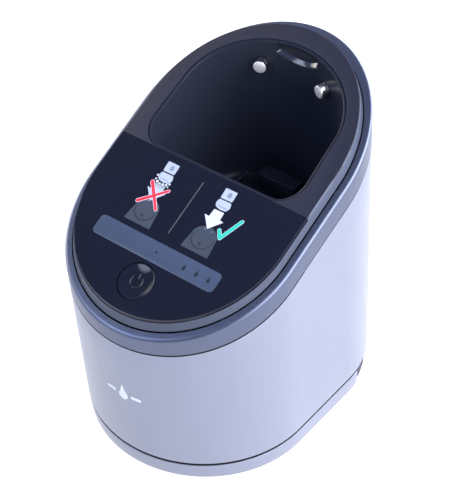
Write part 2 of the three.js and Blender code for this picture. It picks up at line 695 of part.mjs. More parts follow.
function topCover() {
  const body = coverBlock(0, COVER_DEPTH);
  const hollow = coverBlock(COVER_PLATE, COVER_DEPTH + 5, -COVER_WALL);
  const recess = coverBlock(-1, PANEL_THICKNESS + GAP, 2).intersect(inFrontOf(PANEL_REAR_Y));
  const well = prism(wellShape(LIP_WALL + GAP), 0, 2 * TOP_HEIGHT);
  const slot = roundedRectangle(LENS_WIDTH - 2 * LENS_SEAT, LENS_LENGTH - 2 * LENS_SEAT, LENS_CORNER);
  const light = onTop(prism(slot, -2 * COVER_DEPTH, 2), 0, LENS_Y);
  return body.subtract(hollow).subtract(recess).subtract(well).subtract(light)
    .subtract(buttonHole());
}

function displayPanel() {
  const slab = coverBlock(0, PANEL_THICKNESS).intersect(inFrontOf(PANEL_REAR_Y - GAP));
  const opening = roundedRectangle(LENS_WIDTH, LENS_LENGTH, LENS_CORNER);
  const lensHole = onTop(prism(opening, -2 * COVER_DEPTH, 2), 0, LENS_Y);
  return slab.subtract(lensHole).subtract(buttonHole());
}

function indicatorLens() {
  const outline = roundedRectangle(
    LENS_WIDTH - 2 * GAP, LENS_LENGTH - 2 * GAP, LENS_CORNER - GAP);
  return onTop(prism(outline, -LENS_THICKNESS, 0), 0, LENS_Y);
}

add("housing_shell", housingShell(), "silver");
add("trim_band", trimBand(), "band");
add("top_cover", topCover(), "matte_black");
add("display_panel", displayPanel(), "gloss_black");
add("indicator_lens", indicatorLens(), "lens");

// ---- Shaver well ----

const WELL_TOP_DEPTH = COVER_PLATE + GAP; // the bowl's rim under the cover's plate

function cradleBowl() {
  const outside = wellBlock(WELL_WALL, WELL_BOTTOM_Z, WELL_TOP_DEPTH)
    .add(wellBlock(LIP_WALL, WELL_FLOOR_Z, LIP_BELOW));
  const inside = wellBlock(0, WELL_FLOOR_Z, LIP_BELOW - 1);
  const scoop = moved(cylinder(SCOOP_HALF_WIDTH, WELL_FLOOR_Z + 20, 2 * TOP_HEIGHT, 20),
    0, WELL_REAR_Y - SCOOP_HALF_WIDTH - WELL_WALL + SCOOP_DEPTH);
  const sieveSeat = cylinder(SIEVE_RADIUS + GAP, WELL_FLOOR_Z - SIEVE_THICKNESS - GAP,
    WELL_FLOOR_Z + 1);
  const drain = cylinder(DRAIN_RADIUS, WELL_BOTTOM_Z - 1, WELL_FLOOR_Z);
  let bowl = outside.subtract(inside).subtract(scoop.intersect(
    wellBlock(LIP_WALL / 2, WELL_FLOOR_Z, LIP_BELOW - 1)));
  bowl = bowl.subtract(moved(sieveSeat.add(drain), 0, DRAIN_Y));
  for (const side of Object.values(SIDES)) {
    const bore = alongY(cylinder(PIN_RADIUS + GAP, 0, PIN_LENGTH));
    bowl = bowl.subtract(atPin(bore, side));
  }
  const nozzleBore = alongY(cylinder(PIPE_RADIUS + GAP, 0, WELL_CORNER + NOZZLE_TAIL));
  return bowl.subtract(nozzleBore.translate([NOZZLE_X, NOZZLE_TAIL_Y, NOZZLE_Z]));
}

function bowlGasket() {
  const outside = wellBlock(WELL_WALL + GAP + GASKET_WIDTH, WELL_FLOOR_Z, WELL_TOP_DEPTH);
  const inside = wellBlock(WELL_WALL + GAP, WELL_FLOOR_Z - 1, WELL_TOP_DEPTH - 1);
  const levels = [{ below: TOP_HEIGHT }, { below: WELL_TOP_DEPTH + GASKET_HEIGHT }];
  const lower = layered(bodyShape(), levels, (x, y, level) => [x, y, topZ(y) - level.below]);
  return outside.subtract(inside).subtract(lower);
}

function drainSieve() {
  let sieve = cylinder(SIEVE_RADIUS, WELL_FLOOR_Z - SIEVE_THICKNESS, WELL_FLOOR_Z);
  for (let i = 0; i < SIEVE_HOLES; i++) {
    const angle = 2 * Math.PI * i / SIEVE_HOLES;
    const hole = cylinder(SIEVE_HOLE_RADIUS, WELL_BOTTOM_Z, WELL_FLOOR_Z + 1, 8);
    const place = [SIEVE_HOLE_CIRCLE * Math.cos(angle), SIEVE_HOLE_CIRCLE * Math.sin(angle)];
    sieve = sieve.subtract(moved(hole, ...place));
  }
  return moved(sieve, 0, DRAIN_Y);
}

function drainSpout() {
  const bore = SPOUT_RADIUS - SPOUT_WALL;
  const flange = DRAIN_RADIUS + SPOUT_FLANGE;
  const flangeZ = WELL_BOTTOM_Z - GAP;
  return moved(turned([
    [bore, SPOUT_TIP_Z], [SPOUT_RADIUS - 0.5, SPOUT_TIP_Z], [SPOUT_RADIUS, SPOUT_TIP_Z + 2],
    [SPOUT_RADIUS, flangeZ - 2], [flange, flangeZ - 1], [flange, flangeZ],
    [bore, flangeZ], [bore, SPOUT_TIP_Z],
  ], 20), 0, DRAIN_Y);
}

const COIL_INNER = DRAIN_RADIUS + SPOUT_FLANGE + 2;
const COIL_OUTER = 22;
const COIL_HEIGHT = 3;

function dryingCoil() {
  const top = WELL_BOTTOM_Z - GAP;
  return moved(ring(COIL_OUTER, COIL_INNER, top - COIL_HEIGHT, top, 32), 0, DRAIN_Y);
}

// Turns a piece of the left or right contact, made along +Y from its pin's tip, into place.
function atPin(piece, side) {
  const yaw = THREE.MathUtils.degToRad(PIN_YAW_DEG);
  const x = side * (PIN_X - PIN_PROUD * Math.sin(yaw));
  const y = wellRearWallY(PIN_X, PIN_Z) - PIN_PROUD * Math.cos(yaw);
  return piece.rotate([0, 0, -side * PIN_YAW_DEG]).translate([x, y, PIN_Z]);
}

const HOLDER_FRONT = PIN_HEAD_LENGTH + PIN_TRAVEL + GAP; // behind a pin's tip

// A block behind each pin and a bridge between them.
function contactHolder() {
  const rear = HOLDER_FRONT + HOLDER_THICKNESS;
  const block = box([-HOLDER_SIDE, HOLDER_FRONT, -HOLDER_BELOW], [HOLDER_SIDE, rear, HOLDER_ABOVE]);
  const bore = alongY(cylinder(PIN_SHANK_RADIUS + SLIDE_GAP, 0, PIN_LENGTH, 16));
  const blocks = Object.values(SIDES).map((side) => atPin(block.subtract(bore), side));
  const inner = blocks[0].boundingBox();
  const bridge = box([inner.max[0] - 1, inner.max[1] - HOLDER_THICKNESS, inner.min[2]],
    [1 - inner.max[0], inner.max[1], inner.max[2]]);
  return blocks[0].add(blocks[1]).add(bridge);
}

// A spring blade behind a pin, clear of it by more than the pin's travel, on a foot under the block.
function contactLeaf() {
  const front = PIN_LENGTH + PIN_TRAVEL + GAP;
  const rear = front + LEAF_THICKNESS;
  const side = LEAF_WIDTH / 2;
  const top = -HOLDER_BELOW - GAP;
  const blade = box([-side, front, top - LEAF_THICKNESS], [side, rear, PIN_RADIUS]);
  const root = box([-side, HOLDER_FRONT, top - LEAF_THICKNESS], [side, rear, top]);
  return blade.add(root);
}

function chargePin() {
  return alongY(turned([
    [0, 0], [PIN_RADIUS - PIN_CHAMFER, 0], [PIN_RADIUS, PIN_CHAMFER], [PIN_RADIUS, PIN_HEAD_LENGTH],
    [PIN_SHANK_RADIUS, PIN_HEAD_LENGTH], [PIN_SHANK_RADIUS, PIN_LENGTH], [0, PIN_LENGTH],
  ]));
}

add("cradle_bowl", cradleBowl(), "gloss_black");
add("bowl_gasket", bowlGasket(), "rubber");
add("drain_sieve", drainSieve(), "steel");
add("drain_spout", drainSpout(), "grey_plastic");
add("drying_coil", dryingCoil(), "copper");
add("contact_holder", contactHolder(), "grey_plastic");
for (const [name, side] of Object.entries(SIDES)) {
  add(`contact_leaf_${name}`, atPin(contactLeaf(), side), "copper");
  add(`charge_pin_${name}`, atPin(chargePin(), side), "steel");
}

// ---- Chassis ----

const MAIN_BOARD_LENGTH = 24;
const MAIN_BOARD_THICKNESS = 1.6;
const MAIN_BOARD_SIDE_INSET = 16.5; // from the body's side
const BOARD_LOW = [5, LENS_Y - 8.2];
const BOARD_HIGH = [HALF_WIDTH - MAIN_BOARD_SIDE_INSET, BOARD_LOW[1] + MAIN_BOARD_LENGTH];
const STANDOFF_HEIGHT = 3.5;
const STANDOFF_RADIUS = 2.4;
const STANDOFF_INSET = 3; // from the board's sides
const BOARD_Z = CHASSIS_TOP_Z + STANDOFF_HEIGHT;
const SOLDER_DEPTH = 0.5; // of a component's foot in the board
const STANDOFFS = [
  [BOARD_LOW[0] + STANDOFF_INSET, BOARD_HIGH[1] - STANDOFF_INSET],
  [BOARD_HIGH[0] - STANDOFF_INSET, BOARD_HIGH[1] - STANDOFF_INSET],
  [(BOARD_LOW[0] + BOARD_HIGH[0]) / 2, BOARD_LOW[1] + STANDOFF_INSET],
];

function chassis() {
  let plate = bodyBlock([{ z: CHASSIS_Z }, { z: CHASSIS_TOP_Z }], CHASSIS_INSET);
  for (const side of Object.values(SIDES)) {
    const sleeve = cylinder(SLEEVE_BORE + SLEEVE_WALL, CHASSIS_Z, SLEEVE_TOP_Z, 20);
    plate = plate.add(moved(sleeve, side * POST_X, POST_Y));
    plate = plate.subtract(moved(cylinder(SLEEVE_BORE, 0, 2 * SLEEVE_TOP_Z, 20),
      side * POST_X, POST_Y));
    const x = side * KEEPER_X;
    const halfWidth = KEEPER_WIDTH / 2 + SLIDE_GAP;
    plate = plate.subtract(box(
      [x - halfWidth, KEEPER_Y - KEEPER_LENGTH / 2 - KEEPER_NOSE - SLIDE_GAP, CHASSIS_Z - 1],
      [x + halfWidth, KEEPER_REAR_Y + SLIDE_GAP, CHASSIS_TOP_Z + 1]));
  }
  for (const [x, y] of STANDOFFS) {
    plate = plate.add(moved(cylinder(STANDOFF_RADIUS, CHASSIS_Z, BOARD_Z - GAP, 12), x, y));
  }
  const spoutHole = cylinder(SPOUT_RADIUS + GAP, 0, TOP_HEIGHT, 20);
  const pipeHole = cylinder(PIPE_RADIUS + GAP, 0, TOP_HEIGHT, 16);
  return plate.subtract(moved(spoutHole, 0, DRAIN_Y)).subtract(moved(pipeHole, PUMP_X, PUMP_Y));
}

function mainBoard() {
  const [x0, y0] = BOARD_LOW;
  const [x1, y1] = BOARD_HIGH;
  const top = BOARD_Z + MAIN_BOARD_THICKNESS;
  const foot = top - SOLDER_DEPTH;
  const plate = box([x0, y0, BOARD_Z], [x1, y1, top]);
  const transformer = box([x0 + 3, y0 + 4, foot], [x0 + 15, y0 + 16, top + 9]);
  const chip = box([x1 - 12, y1 - 9, foot], [x1 - 4, y1 - 3, top + 1.8]);
  const capacitor = moved(cylinder(3.2, foot, top + 8, 16), x1 - 8, y0 + 9);
  return plate.add(transformer).add(chip).add(capacitor);
}

// The power inlet: a block through the rear wall with a two-pin socket.
function powerInlet() {
  const rear = wallY(0, INLET_Z) - INLET_SET_BACK;
  const body = box([-INLET_WIDTH / 2, rear - INLET_DEPTH, INLET_Z - INLET_HEIGHT / 2],
    [INLET_WIDTH / 2, rear, INLET_Z + INLET_HEIGHT / 2]);
  const mouth = prism(
    roundedRectangle(INLET_MOUTH_WIDTH, INLET_MOUTH_HEIGHT, INLET_MOUTH_HEIGHT / 2 - 0.5),
    0, INLET_MOUTH_DEPTH + 1, 6);
  const cavity = mouth.rotate([-90, 0, 0]).translate([0, rear - INLET_MOUTH_DEPTH, INLET_Z]);
  let inlet = body.subtract(cavity);
  for (const side of Object.values(SIDES)) {
    const pin = alongY(cylinder(INLET_PIN_RADIUS, -1, INLET_PIN_LENGTH, 10));
    inlet = inlet.add(pin.translate([side * INLET_PIN_X, rear - INLET_MOUTH_DEPTH, INLET_Z]));
  }
  return inlet;
}

add("chassis", chassis(), "grey_plastic");
add("main_board", mainBoard(), "board");
add("power_inlet", powerInlet(), "matte_black");

// ---- Pump ----

const PUMP_FLOOR_Z = CHASSIS_TOP_Z + GAP;
const CAVITY_Z = PUMP_FLOOR_Z + PUMP_FLOOR;
const COVER_Z = PUMP_TOP_Z + GAP;
const MOTOR_Z = COVER_Z + PUMP_COVER + GAP;
const OUTLET_RADIUS = 2.6;
const OUTLET_WALL = 1;
const OUTLET_LENGTH = 4;
const OUTLET_END_X = PUMP_X + PUMP_RADIUS + OUTLET_LENGTH;

function pumpHousing() {
  const bore = PIPE_RADIUS - PIPE_WALL;
  const cup = turned([
    [bore, PUMP_FLOOR_Z], [PUMP_RADIUS, PUMP_FLOOR_Z], [PUMP_RADIUS, PUMP_TOP_Z],
    [PUMP_CAVITY_RADIUS, PUMP_TOP_Z], [PUMP_CAVITY_RADIUS, CAVITY_Z], [bore, CAVITY_Z],
    [bore, PUMP_FLOOR_Z],
  ]);
  const wallX = (PUMP_RADIUS + PUMP_CAVITY_RADIUS) / 2;
  const endX = OUTLET_END_X - PUMP_X;
  const stub = alongX(cylinder(OUTLET_RADIUS, wallX, endX, 16)).translate([0, 0, OUTLET_Z]);
  const port = alongX(cylinder(OUTLET_RADIUS - OUTLET_WALL, PUMP_CAVITY_RADIUS - 1, endX + 1, 12));
  return moved(cup.add(stub).subtract(port.translate([0, 0, OUTLET_Z])), PUMP_X, PUMP_Y);
}

function pumpCover() {
  return moved(ring(PUMP_RADIUS, SHAFT_RADIUS + SLIDE_GAP, COVER_Z, COVER_Z + PUMP_COVER),
    PUMP_X, PUMP_Y);
}

const SHAFT_TOP_Z = MOTOR_Z + SHAFT_IN_MOTOR;

function pumpMotor() {
  const bore = SHAFT_RADIUS + SLIDE_GAP;
  const boreTop = SHAFT_TOP_Z + 1;
  return moved(turned([
    [0, boreTop], [bore, boreTop], [bore, MOTOR_Z], [MOTOR_RADIUS, MOTOR_Z],
    [MOTOR_RADIUS, MOTOR_TOP_Z - MOTOR_CHAMFER], [MOTOR_RADIUS - MOTOR_CHAMFER, MOTOR_TOP_Z],
    [0, MOTOR_TOP_Z],
  ]), PUMP_X, PUMP_Y);
}

function pumpImpeller() {
  const bottom = CAVITY_Z + IMPELLER_ROOM;
  const top = PUMP_TOP_Z - IMPELLER_ROOM;
  let impeller = cylinder(HUB_RADIUS, bottom, top, 16);
  for (let i = 0; i < VANES; i++) {
    const vane = box([0, -VANE_WIDTH / 2, bottom], [IMPELLER_RADIUS, VANE_WIDTH / 2, top - 1]);
    impeller = impeller.add(vane.rotate([0, 0, 360 * i / VANES]));
  }
  const bore = cylinder(SHAFT_RADIUS + GAP, bottom + IMPELLER_FLOOR, top + 1, 16);
  return moved(impeller.subtract(bore), PUMP_X, PUMP_Y);
}

function pumpShaft() {
  const bottom = CAVITY_Z + IMPELLER_ROOM + IMPELLER_FLOOR + GAP;
  return moved(cylinder(SHAFT_RADIUS, bottom, SHAFT_TOP_Z, 16), PUMP_X, PUMP_Y);
}

function suctionPipe() {
  const bore = PIPE_RADIUS - PIPE_WALL;
  const top = PUMP_FLOOR_Z - GAP;
  return moved(turned([
    [bore, SPOUT_TIP_Z], [PIPE_RADIUS - 0.6, SPOUT_TIP_Z], [PIPE_RADIUS, SPOUT_TIP_Z + 2],
    [PIPE_RADIUS, top], [bore, top], [bore, SPOUT_TIP_Z],
  ], 16), PUMP_X, PUMP_Y);
}

function deliveryTube() {
  const start = new THREE.Vector3(OUTLET_END_X + GAP, PUMP_Y, OUTLET_Z);
  const end = new THREE.Vector3(NOZZLE_X, NOZZLE_TAIL_Y - GAP, NOZZLE_Z);
  const path = new THREE.CubicBezierCurve3(
    start, start.clone().add(new THREE.Vector3(7 * TUBE_RADIUS, 0, 0)),
    end.clone().add(new THREE.Vector3(0, -4.5 * TUBE_RADIUS, 0)), end);
  return swept(path, roundSection(TUBE_RADIUS, 8), 16);
}

function sprayNozzle() {
  const front = WELL_TAPER_Y + (WELL_FRONT_Y - WELL_TAPER_Y) * wellScale(WELL_FRONT_Y, NOZZLE_Z);
  const length = front - NOZZLE_TAIL_Y + NOZZLE_PROUD;
  return alongY(turned([
    [NOZZLE_BORE, 0], [TUBE_RADIUS, 0], [PIPE_RADIUS, 2], [PIPE_RADIUS, length - 1.5],
    [PIPE_RADIUS - 1, length], [NOZZLE_BORE, length], [NOZZLE_BORE, 0],
  ], 16)).translate([NOZZLE_X, NOZZLE_TAIL_Y, NOZZLE_Z]);
}

add("pump_housing", pumpHousing(), "white_plastic");
add("pump_cover", pumpCover(), "white_plastic");
add("pump_motor", pumpMotor(), "steel");
add("pump_impeller", pumpImpeller(), "grey_plastic");
add("pump_shaft", pumpShaft(), "steel");
add("suction_pipe", suctionPipe(), "grey_plastic");
add("delivery_tube", deliveryTube(), "tube");
add("spray_nozzle", sprayNozzle(), "matte_black");

// ---- Start button, display board and lights ----

function startButton() {
  const under = -COVER_PLATE - GAP;
  const flange = BUTTON_RADIUS + BUTTON_FLANGE;
  return onTop(turned([
    [0, -BUTTON_STEM_DEPTH], [BUTTON_STEM_RADIUS, -BUTTON_STEM_DEPTH],
    [BUTTON_STEM_RADIUS, under - 1], [flange, under - 1], [flange, under],
    [BUTTON_RADIUS, under], [BUTTON_RADIUS, -0.3], [BUTTON_RADIUS - 0.4, 0],
    [BUTTON_RADIUS - 1.4, -0.1], [BUTTON_RADIUS / 2, -BUTTON_DISH * 0.8], [0, -BUTTON_DISH],
  ], 32), 0, BUTTON_Y);
}

function displayBoard() {
  const board = box([-BOARD_HALF_WIDTH, -BOARD_FRONT, -BOARD_DEPTH - BOARD_THICKNESS],
    [BOARD_HALF_WIDTH, BOARD_REAR, -BOARD_DEPTH]);
  const inside = bodyBlock([{ z: 0 }, { z: 2 * TOP_HEIGHT }], BAND_WALL + COVER_DEPTH);
  return onTop(board, 0, LENS_Y).intersect(inside);
}

function tactSwitch() {
  const top = -BUTTON_STEM_DEPTH - BUTTON_TRAVEL - GAP;
  const base = -BOARD_DEPTH + GAP;
  const half = SWITCH_WIDTH / 2;
  const body = box([-half, -half, base], [half, half, base + SWITCH_HEIGHT]);
  return onTop(body.add(cylinder(PLUNGER_RADIUS, base, top, 12)), 0, BUTTON_Y);
}

function lightEmitter() {
  const base = -BOARD_DEPTH + GAP;
  return turned([
    [0, base], [LIGHT_RADIUS, base], [LIGHT_RADIUS, base + 0.6 * LIGHT_HEIGHT],
    [0.7 * LIGHT_RADIUS, base + 0.9 * LIGHT_HEIGHT], [0, base + LIGHT_HEIGHT],
  ], 12);
}

const RIBBON_WIDTH = 10;
const RIBBON_THICKNESS = 0.6;
const RIBBON_X = (BOARD_LOW[0] + BOARD_HIGH[0]) / 2 + 3;

function ribbonCable() {
  const [across, along] = [RIBBON_THICKNESS / 2, RIBBON_WIDTH / 2];
  const section = shapeOf([
    new THREE.Vector2(-across, -along), new THREE.Vector2(across, -along),
    new THREE.Vector2(across, along), new THREE.Vector2(-across, along),
  ]);
  const y = LENS_Y + 5;
  const top = topZ(y) - (BOARD_DEPTH + BOARD_THICKNESS) / Math.cos(SLOPE_ANGLE) - 1;
  const low = BOARD_Z + MAIN_BOARD_THICKNESS + GAP;
  const path = new THREE.CubicBezierCurve3(
    new THREE.Vector3(RIBBON_X, y, low), new THREE.Vector3(RIBBON_X, y, low + 8),
    new THREE.Vector3(RIBBON_X, y + 4, top - 8), new THREE.Vector3(RIBBON_X, y + 2, top));
  return swept(path, section, 8);
}

add("start_button", startButton(), "gloss_black");
add("display_board", displayBoard(), "board");
add("tact_switch", tactSwitch(), "grey_plastic");
for (const [name, x] of Object.entries(LIGHT_PLACES)) {
  add(`light_${name}`, onTop(lightEmitter(), x, LENS_Y), "light");
}
add("ribbon_cable", ribbonCable(), "white_plastic");

// ---- Release latch ----

const LATCH_BOTTOM_Z = LATCH_TOP_Z - LATCH_HEIGHT;
// The latch bar's rear face, on the middle line.
const latchRearY = leaned(0, BODY_DEPTH / 2 - LATCH_INSET, LATCH_TOP_Z)[1];

function latchBar() {
  const levels = [{ z: LATCH_BOTTOM_Z }, { z: LATCH_TOP_Z }];
  let bar = bodyBlock(levels, LATCH_INSET);
  bar = bar.subtract(bodyBlock([{ z: 0 }, { z: TOP_HEIGHT }], LATCH_INSET + LATCH_WALL));
  bar = bar.subtract(inFrontOf(LATCH_FRONT_Y));
  const armX = HALF_WIDTH - LATCH_INSET;
  for (const side of Object.values(SIDES)) {
    const x = [side * (armX - LATCH_WALL), side * (KEEPER_X + KEEPER_WIDTH / 2)];
    x.sort((a, b) => a - b);
    bar = bar.add(box([x[0], LATCH_FRONT_Y, LATCH_BOTTOM_Z],
      [x[1], LUG_REAR_Y, LATCH_TOP_Z - LUG_DROP]));
  }
  return bar;
}

function releaseButton() {
  const frontY = latchRearY + GAP;
  const faceY = wallY(0, RELEASE_Z) + RELEASE_PROUD;
  const flangeX = RELEASE_WIDTH / 2 + RELEASE_FLANGE;
  const flangeLowZ = RELEASE_Z - RELEASE_HEIGHT / 2 - RELEASE_FLANGE;
  const flangeRearY = wallY(flangeX, flangeLowZ, SHELL_WALL) - SLIDE_GAP;
  const outline = roundedRectangle(RELEASE_WIDTH, RELEASE_HEIGHT, RELEASE_CORNER);
  const flangeOutline = roundedRectangle(
    2 * flangeX, RELEASE_HEIGHT + 2 * RELEASE_FLANGE, RELEASE_CORNER);
  const face = prism(outline, frontY, faceY, 4);
  const flange = prism(flangeOutline, frontY, flangeRearY, 4);
  return face.add(flange).rotate([-90, 0, 0]).translate([0, 0, RELEASE_Z]);
}

// The return spring between the well and the latch bar.
function latchSpring() {
  const wellY = WELL_TAPER_Y
    + (WELL_REAR_Y + WELL_WALL - WELL_TAPER_Y) * wellScale(WELL_REAR_Y, RELEASE_Z);
  const ends = SPRING_WIRE + GAP;
  const low = wellY + ends + GAP;
  const high = latchRearY - LATCH_WALL - ends;
  const path = new Helix(LATCH_SPRING_RADIUS, LATCH_SPRING_TURNS, high - low);
  const coil = swept(path, roundSection(LATCH_SPRING_WIRE, 5), LATCH_SPRING_TURNS * 9);
  return alongY(coil).translate([0, low, (LATCH_BOTTOM_Z + LATCH_TOP_Z) / 2]);
}

add("latch_bar", latchBar(), "grey_plastic");
add("release_button", releaseButton(), "matte_black");
add("latch_spring", latchSpring(), "steel");

export default station;
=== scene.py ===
"""A shaver cleaning and charging station: the looks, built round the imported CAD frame.

Shape functions work in the frame's axes in millimetres: +X right, -Y the low front, +Z up.
Meshes are made in metres.
"""

import math

import bmesh
import bpy
from mathutils import Matrix, Vector


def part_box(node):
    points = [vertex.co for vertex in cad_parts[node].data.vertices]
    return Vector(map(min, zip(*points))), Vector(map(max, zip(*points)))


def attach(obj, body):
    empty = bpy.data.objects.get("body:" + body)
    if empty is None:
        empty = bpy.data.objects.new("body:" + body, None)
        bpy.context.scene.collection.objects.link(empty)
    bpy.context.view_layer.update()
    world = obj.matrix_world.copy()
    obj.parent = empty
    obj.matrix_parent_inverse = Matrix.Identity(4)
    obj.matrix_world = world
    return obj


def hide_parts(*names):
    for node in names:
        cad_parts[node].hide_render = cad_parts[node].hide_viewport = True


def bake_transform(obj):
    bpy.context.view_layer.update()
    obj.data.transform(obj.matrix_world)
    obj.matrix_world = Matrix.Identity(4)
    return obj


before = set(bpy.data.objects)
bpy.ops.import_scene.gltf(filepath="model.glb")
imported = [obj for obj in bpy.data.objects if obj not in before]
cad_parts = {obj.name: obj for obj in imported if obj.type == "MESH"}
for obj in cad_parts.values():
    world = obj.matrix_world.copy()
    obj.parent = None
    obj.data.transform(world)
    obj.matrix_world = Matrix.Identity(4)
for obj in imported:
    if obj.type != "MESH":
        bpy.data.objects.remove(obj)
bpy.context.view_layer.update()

MM = 0.001

# ---- Driving dimensions, in millimetres ----


def cad_box(node):
    """A CAD node's lowest and highest corner in millimetres."""
    low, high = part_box(node)
    return low / MM, high / MM


BODY_HIGH = cad_box("trim_band")[1]
SHELL_BOTTOM = cad_box("housing_shell")[0].z
RING_LOW, RING_HIGH = cad_box("base_ring")

HALF_WIDTH = BODY_HIGH.x
HALF_DEPTH = BODY_HIGH.y
FRONT_CENTRE_Y = -20
REAR_CENTRE_Y = 15
TOP_HEIGHT = 114.1
SLOPE_ANGLE = math.radians(24.4)
REAR_LEAN = 0.06
SHELL_WALL = 2.4
BAND_WALL = 3.05
BAND_SHOULDER = 3.8
BAND_SHOULDER_LOW = 6.1
BAND_SHOULDER_HIGH = 4.62
BAND_CURVE = (14.8, 0.5, 2.4, 4.6)
COVER_INSET = 4.7
COVER_REAR_INSET = 6.1
COVER_DEPTH = 4.6
COVER_BEVEL = 1.25
COVER_WALL = 1.6
COVER_PLATE = 3
PANEL_THICKNESS = 1
PANEL_REAR_Y = -3.9
WELL_FRONT_Y = -2.6
WELL_REAR_Y = 54.6
WELL_REAR_CENTRE_Y = 26
WELL_HALF_WIDTH = 38.7
WELL_REAR_HALF_WIDTH = 37.9
WELL_CORNER = 10
WELL_FLOOR_Z = 72
WELL_TAPER = 0.78
WELL_TAPER_Y = 24
WELL_WALL = 2
LIP_WALL = 1.1
# The seams over and under the shell. The lower one is drawn lower than the CAD's.
UPPER_GAP = 0.5
LOWER_GAP = 0.8
SEAM_DROP = 0.6

BUTTON_Y = -52.4
BUTTON_RADIUS = 7.9
BUTTON_DISH = 0.9
LENS_Y = -39.8
LENS_SIZE = (62.9, 8.7)
LENS_CORNER = 2
DRAIN_Y = 22
RELEASE_Z = 80
INLET_Z = 65

FRONT_DEPTH = HALF_DEPTH + FRONT_CENTRE_Y
REAR_DEPTH = HALF_DEPTH - REAR_CENTRE_Y
SLOPE = math.tan(SLOPE_ANGLE)
ARC_STEPS = 72
SIDE_STEPS = 14


def top_z(y):
    """Height of the sloped top at a distance from front to rear."""
    return TOP_HEIGHT + SLOPE * y


LEAN_Z = top_z(HALF_DEPTH) - COVER_DEPTH - BAND_SHOULDER

# ---- Camera ----

VIEW_AZIMUTH = 42.8
VIEW_ELEVATION = 41.5
VIEW_ROLL = -4.95
VIEW_DISTANCE = 620.7
VIEW_TARGET = (0, 0, 75)
VIEW_LENS = 107.5
VIEW_SHIFT = (0.0086, -0.0256)


def make_camera():
    a, e, r = (math.radians(v) for v in (VIEW_AZIMUTH, VIEW_ELEVATION, VIEW_ROLL))
    back = Vector((math.sin(a) * math.cos(e), -math.cos(a) * math.cos(e), math.sin(e)))
    right = Vector((0, 0, 1)).cross(back).normalized()
    up = back.cross(right)
    turned_right = right * math.cos(r) + up * math.sin(r)
    turned_up = up * math.cos(r) - right * math.sin(r)
    camera = bpy.data.objects.new("camera", bpy.data.cameras.new("camera"))
    bpy.context.scene.collection.objects.link(camera)
    camera.data.lens = VIEW_LENS
    camera.data.sensor_width = 36
    camera.data.shift_x, camera.data.shift_y = VIEW_SHIFT
    camera.data.clip_start, camera.data.clip_end = 0.01, 20
    basis = Matrix((turned_right, turned_up, back)).transposed().to_4x4()
    place = (Vector(VIEW_TARGET) + back * VIEW_DISTANCE) * MM
    camera.matrix_world = Matrix.Translation(place) @ basis
    bpy.context.scene.camera = camera


make_camera()

# ---- Materials ----


class Tree:
    """A node tree, with short ways to add, set and join nodes."""

    def __init__(self, tree):
        self.tree = tree

    def set(self, node, socket, value):
        node.inputs[socket].default_value = value

    def node(self, kind, **properties):
        made = self.tree.nodes.new(kind)
        for name, value in properties.items():
            setattr(made, name, value)
        return made

    def link(self, output, node, socket):
        self.tree.links.new(output, node.inputs[socket])


class Shader(Tree):
    """A material's node tree round one Principled BSDF."""

    def __init__(self, name, color, roughness, metallic=0.0, **sockets):
        self.material = bpy.data.materials.new(name)
        self.material.use_nodes = True
        super().__init__(self.material.node_tree)
        self.principled = self.tree.nodes["Principled BSDF"]
        self.set(self.principled, "Base Color", (*color, 1))
        self.set(self.principled, "Roughness", roughness)
        self.set(self.principled, "Metallic", metallic)
        for socket, value in sockets.items():
            self.set(self.principled, socket.replace("_", " "), value)
        self.color = color
        self.roughness = roughness
        self.position = self.node("ShaderNodeTexCoord").outputs["Object"]
        self.height = None

    def noise(self, scale, detail=3, stretch=(1, 1, 1)):
        """A noise field over the object. The scale is in waves per metre."""
        mapping = self.node("ShaderNodeMapping")
        self.set(mapping, "Scale", stretch)
        self.link(self.position, mapping, "Vector")
        field = self.node("ShaderNodeTexNoise")
        self.set(field, "Scale", scale)
        self.set(field, "Detail", detail)
        self.link(mapping.outputs["Vector"], field, "Vector")
        return field.outputs["Fac"]

    def ranged(self, field, low, high, field_low=0.3, field_high=0.7):
        mapped = self.node("ShaderNodeMapRange")
        for socket, value in (("From Min", field_low), ("From Max", field_high),
                              ("To Min", low), ("To Max", high)):
            self.set(mapped, socket, value)
        self.link(field, mapped, "Value")
        return mapped.outputs["Result"]

    def vary_roughness(self, field, spread):
        low, high = max(0.02, self.roughness - spread), self.roughness + spread
        self.link(self.ranged(field, low, high), self.principled, "Roughness")

    def vary_color(self, field, other, field_low=0.3, field_high=0.7):
        """Blends the base colour with another one by a field."""
        mix = self.node("ShaderNodeMix", data_type="RGBA")
        mix.inputs["A"].default_value = (*self.color, 1)
        mix.inputs["B"].default_value = (*other, 1)
        self.link(self.ranged(field, 0, 1, field_low, field_high), mix, "Factor")
        self.link(mix.outputs["Result"], self.principled, "Base Color")

    def wear_edges(self, other):
        """Lightens what stands out, as handling does."""
        pointiness = self.node("ShaderNodeNewGeometry").outputs["Pointiness"]
        self.vary_color(pointiness, other, 0.54, 0.66)

    def bump(self, field, distance, strength=1.0):
        """Adds relief. The distance is in millimetres."""
        node = self.node("ShaderNodeBump")
        self.set(node, "Distance", distance * MM)
        self.set(node, "Strength", strength)
        self.link(field, node, "Height")
        if self.height:
            self.link(self.height.outputs["Normal"], node, "Normal")
        self.height = node
        self.link(node.outputs["Normal"], self.principled, "Normal")


def silver_paint():
    s = Shader("satin_silver_paint", (0.27, 0.289, 0.378), 0.34, 0.66,
               Coat_Weight=0.2, Coat_Roughness=0.3)
    s.vary_color(s.noise(60, 4, (1, 1, 0.25)), (0.259, 0.277, 0.363))
    s.vary_roughness(s.noise(400, 5, (1, 1, 0.1)), 0.035)
    s.bump(s.noise(9000, 2), 0.006, 0.5)
    s.bump(s.noise(350, 2), 0.02, 0.15)
    return s.material


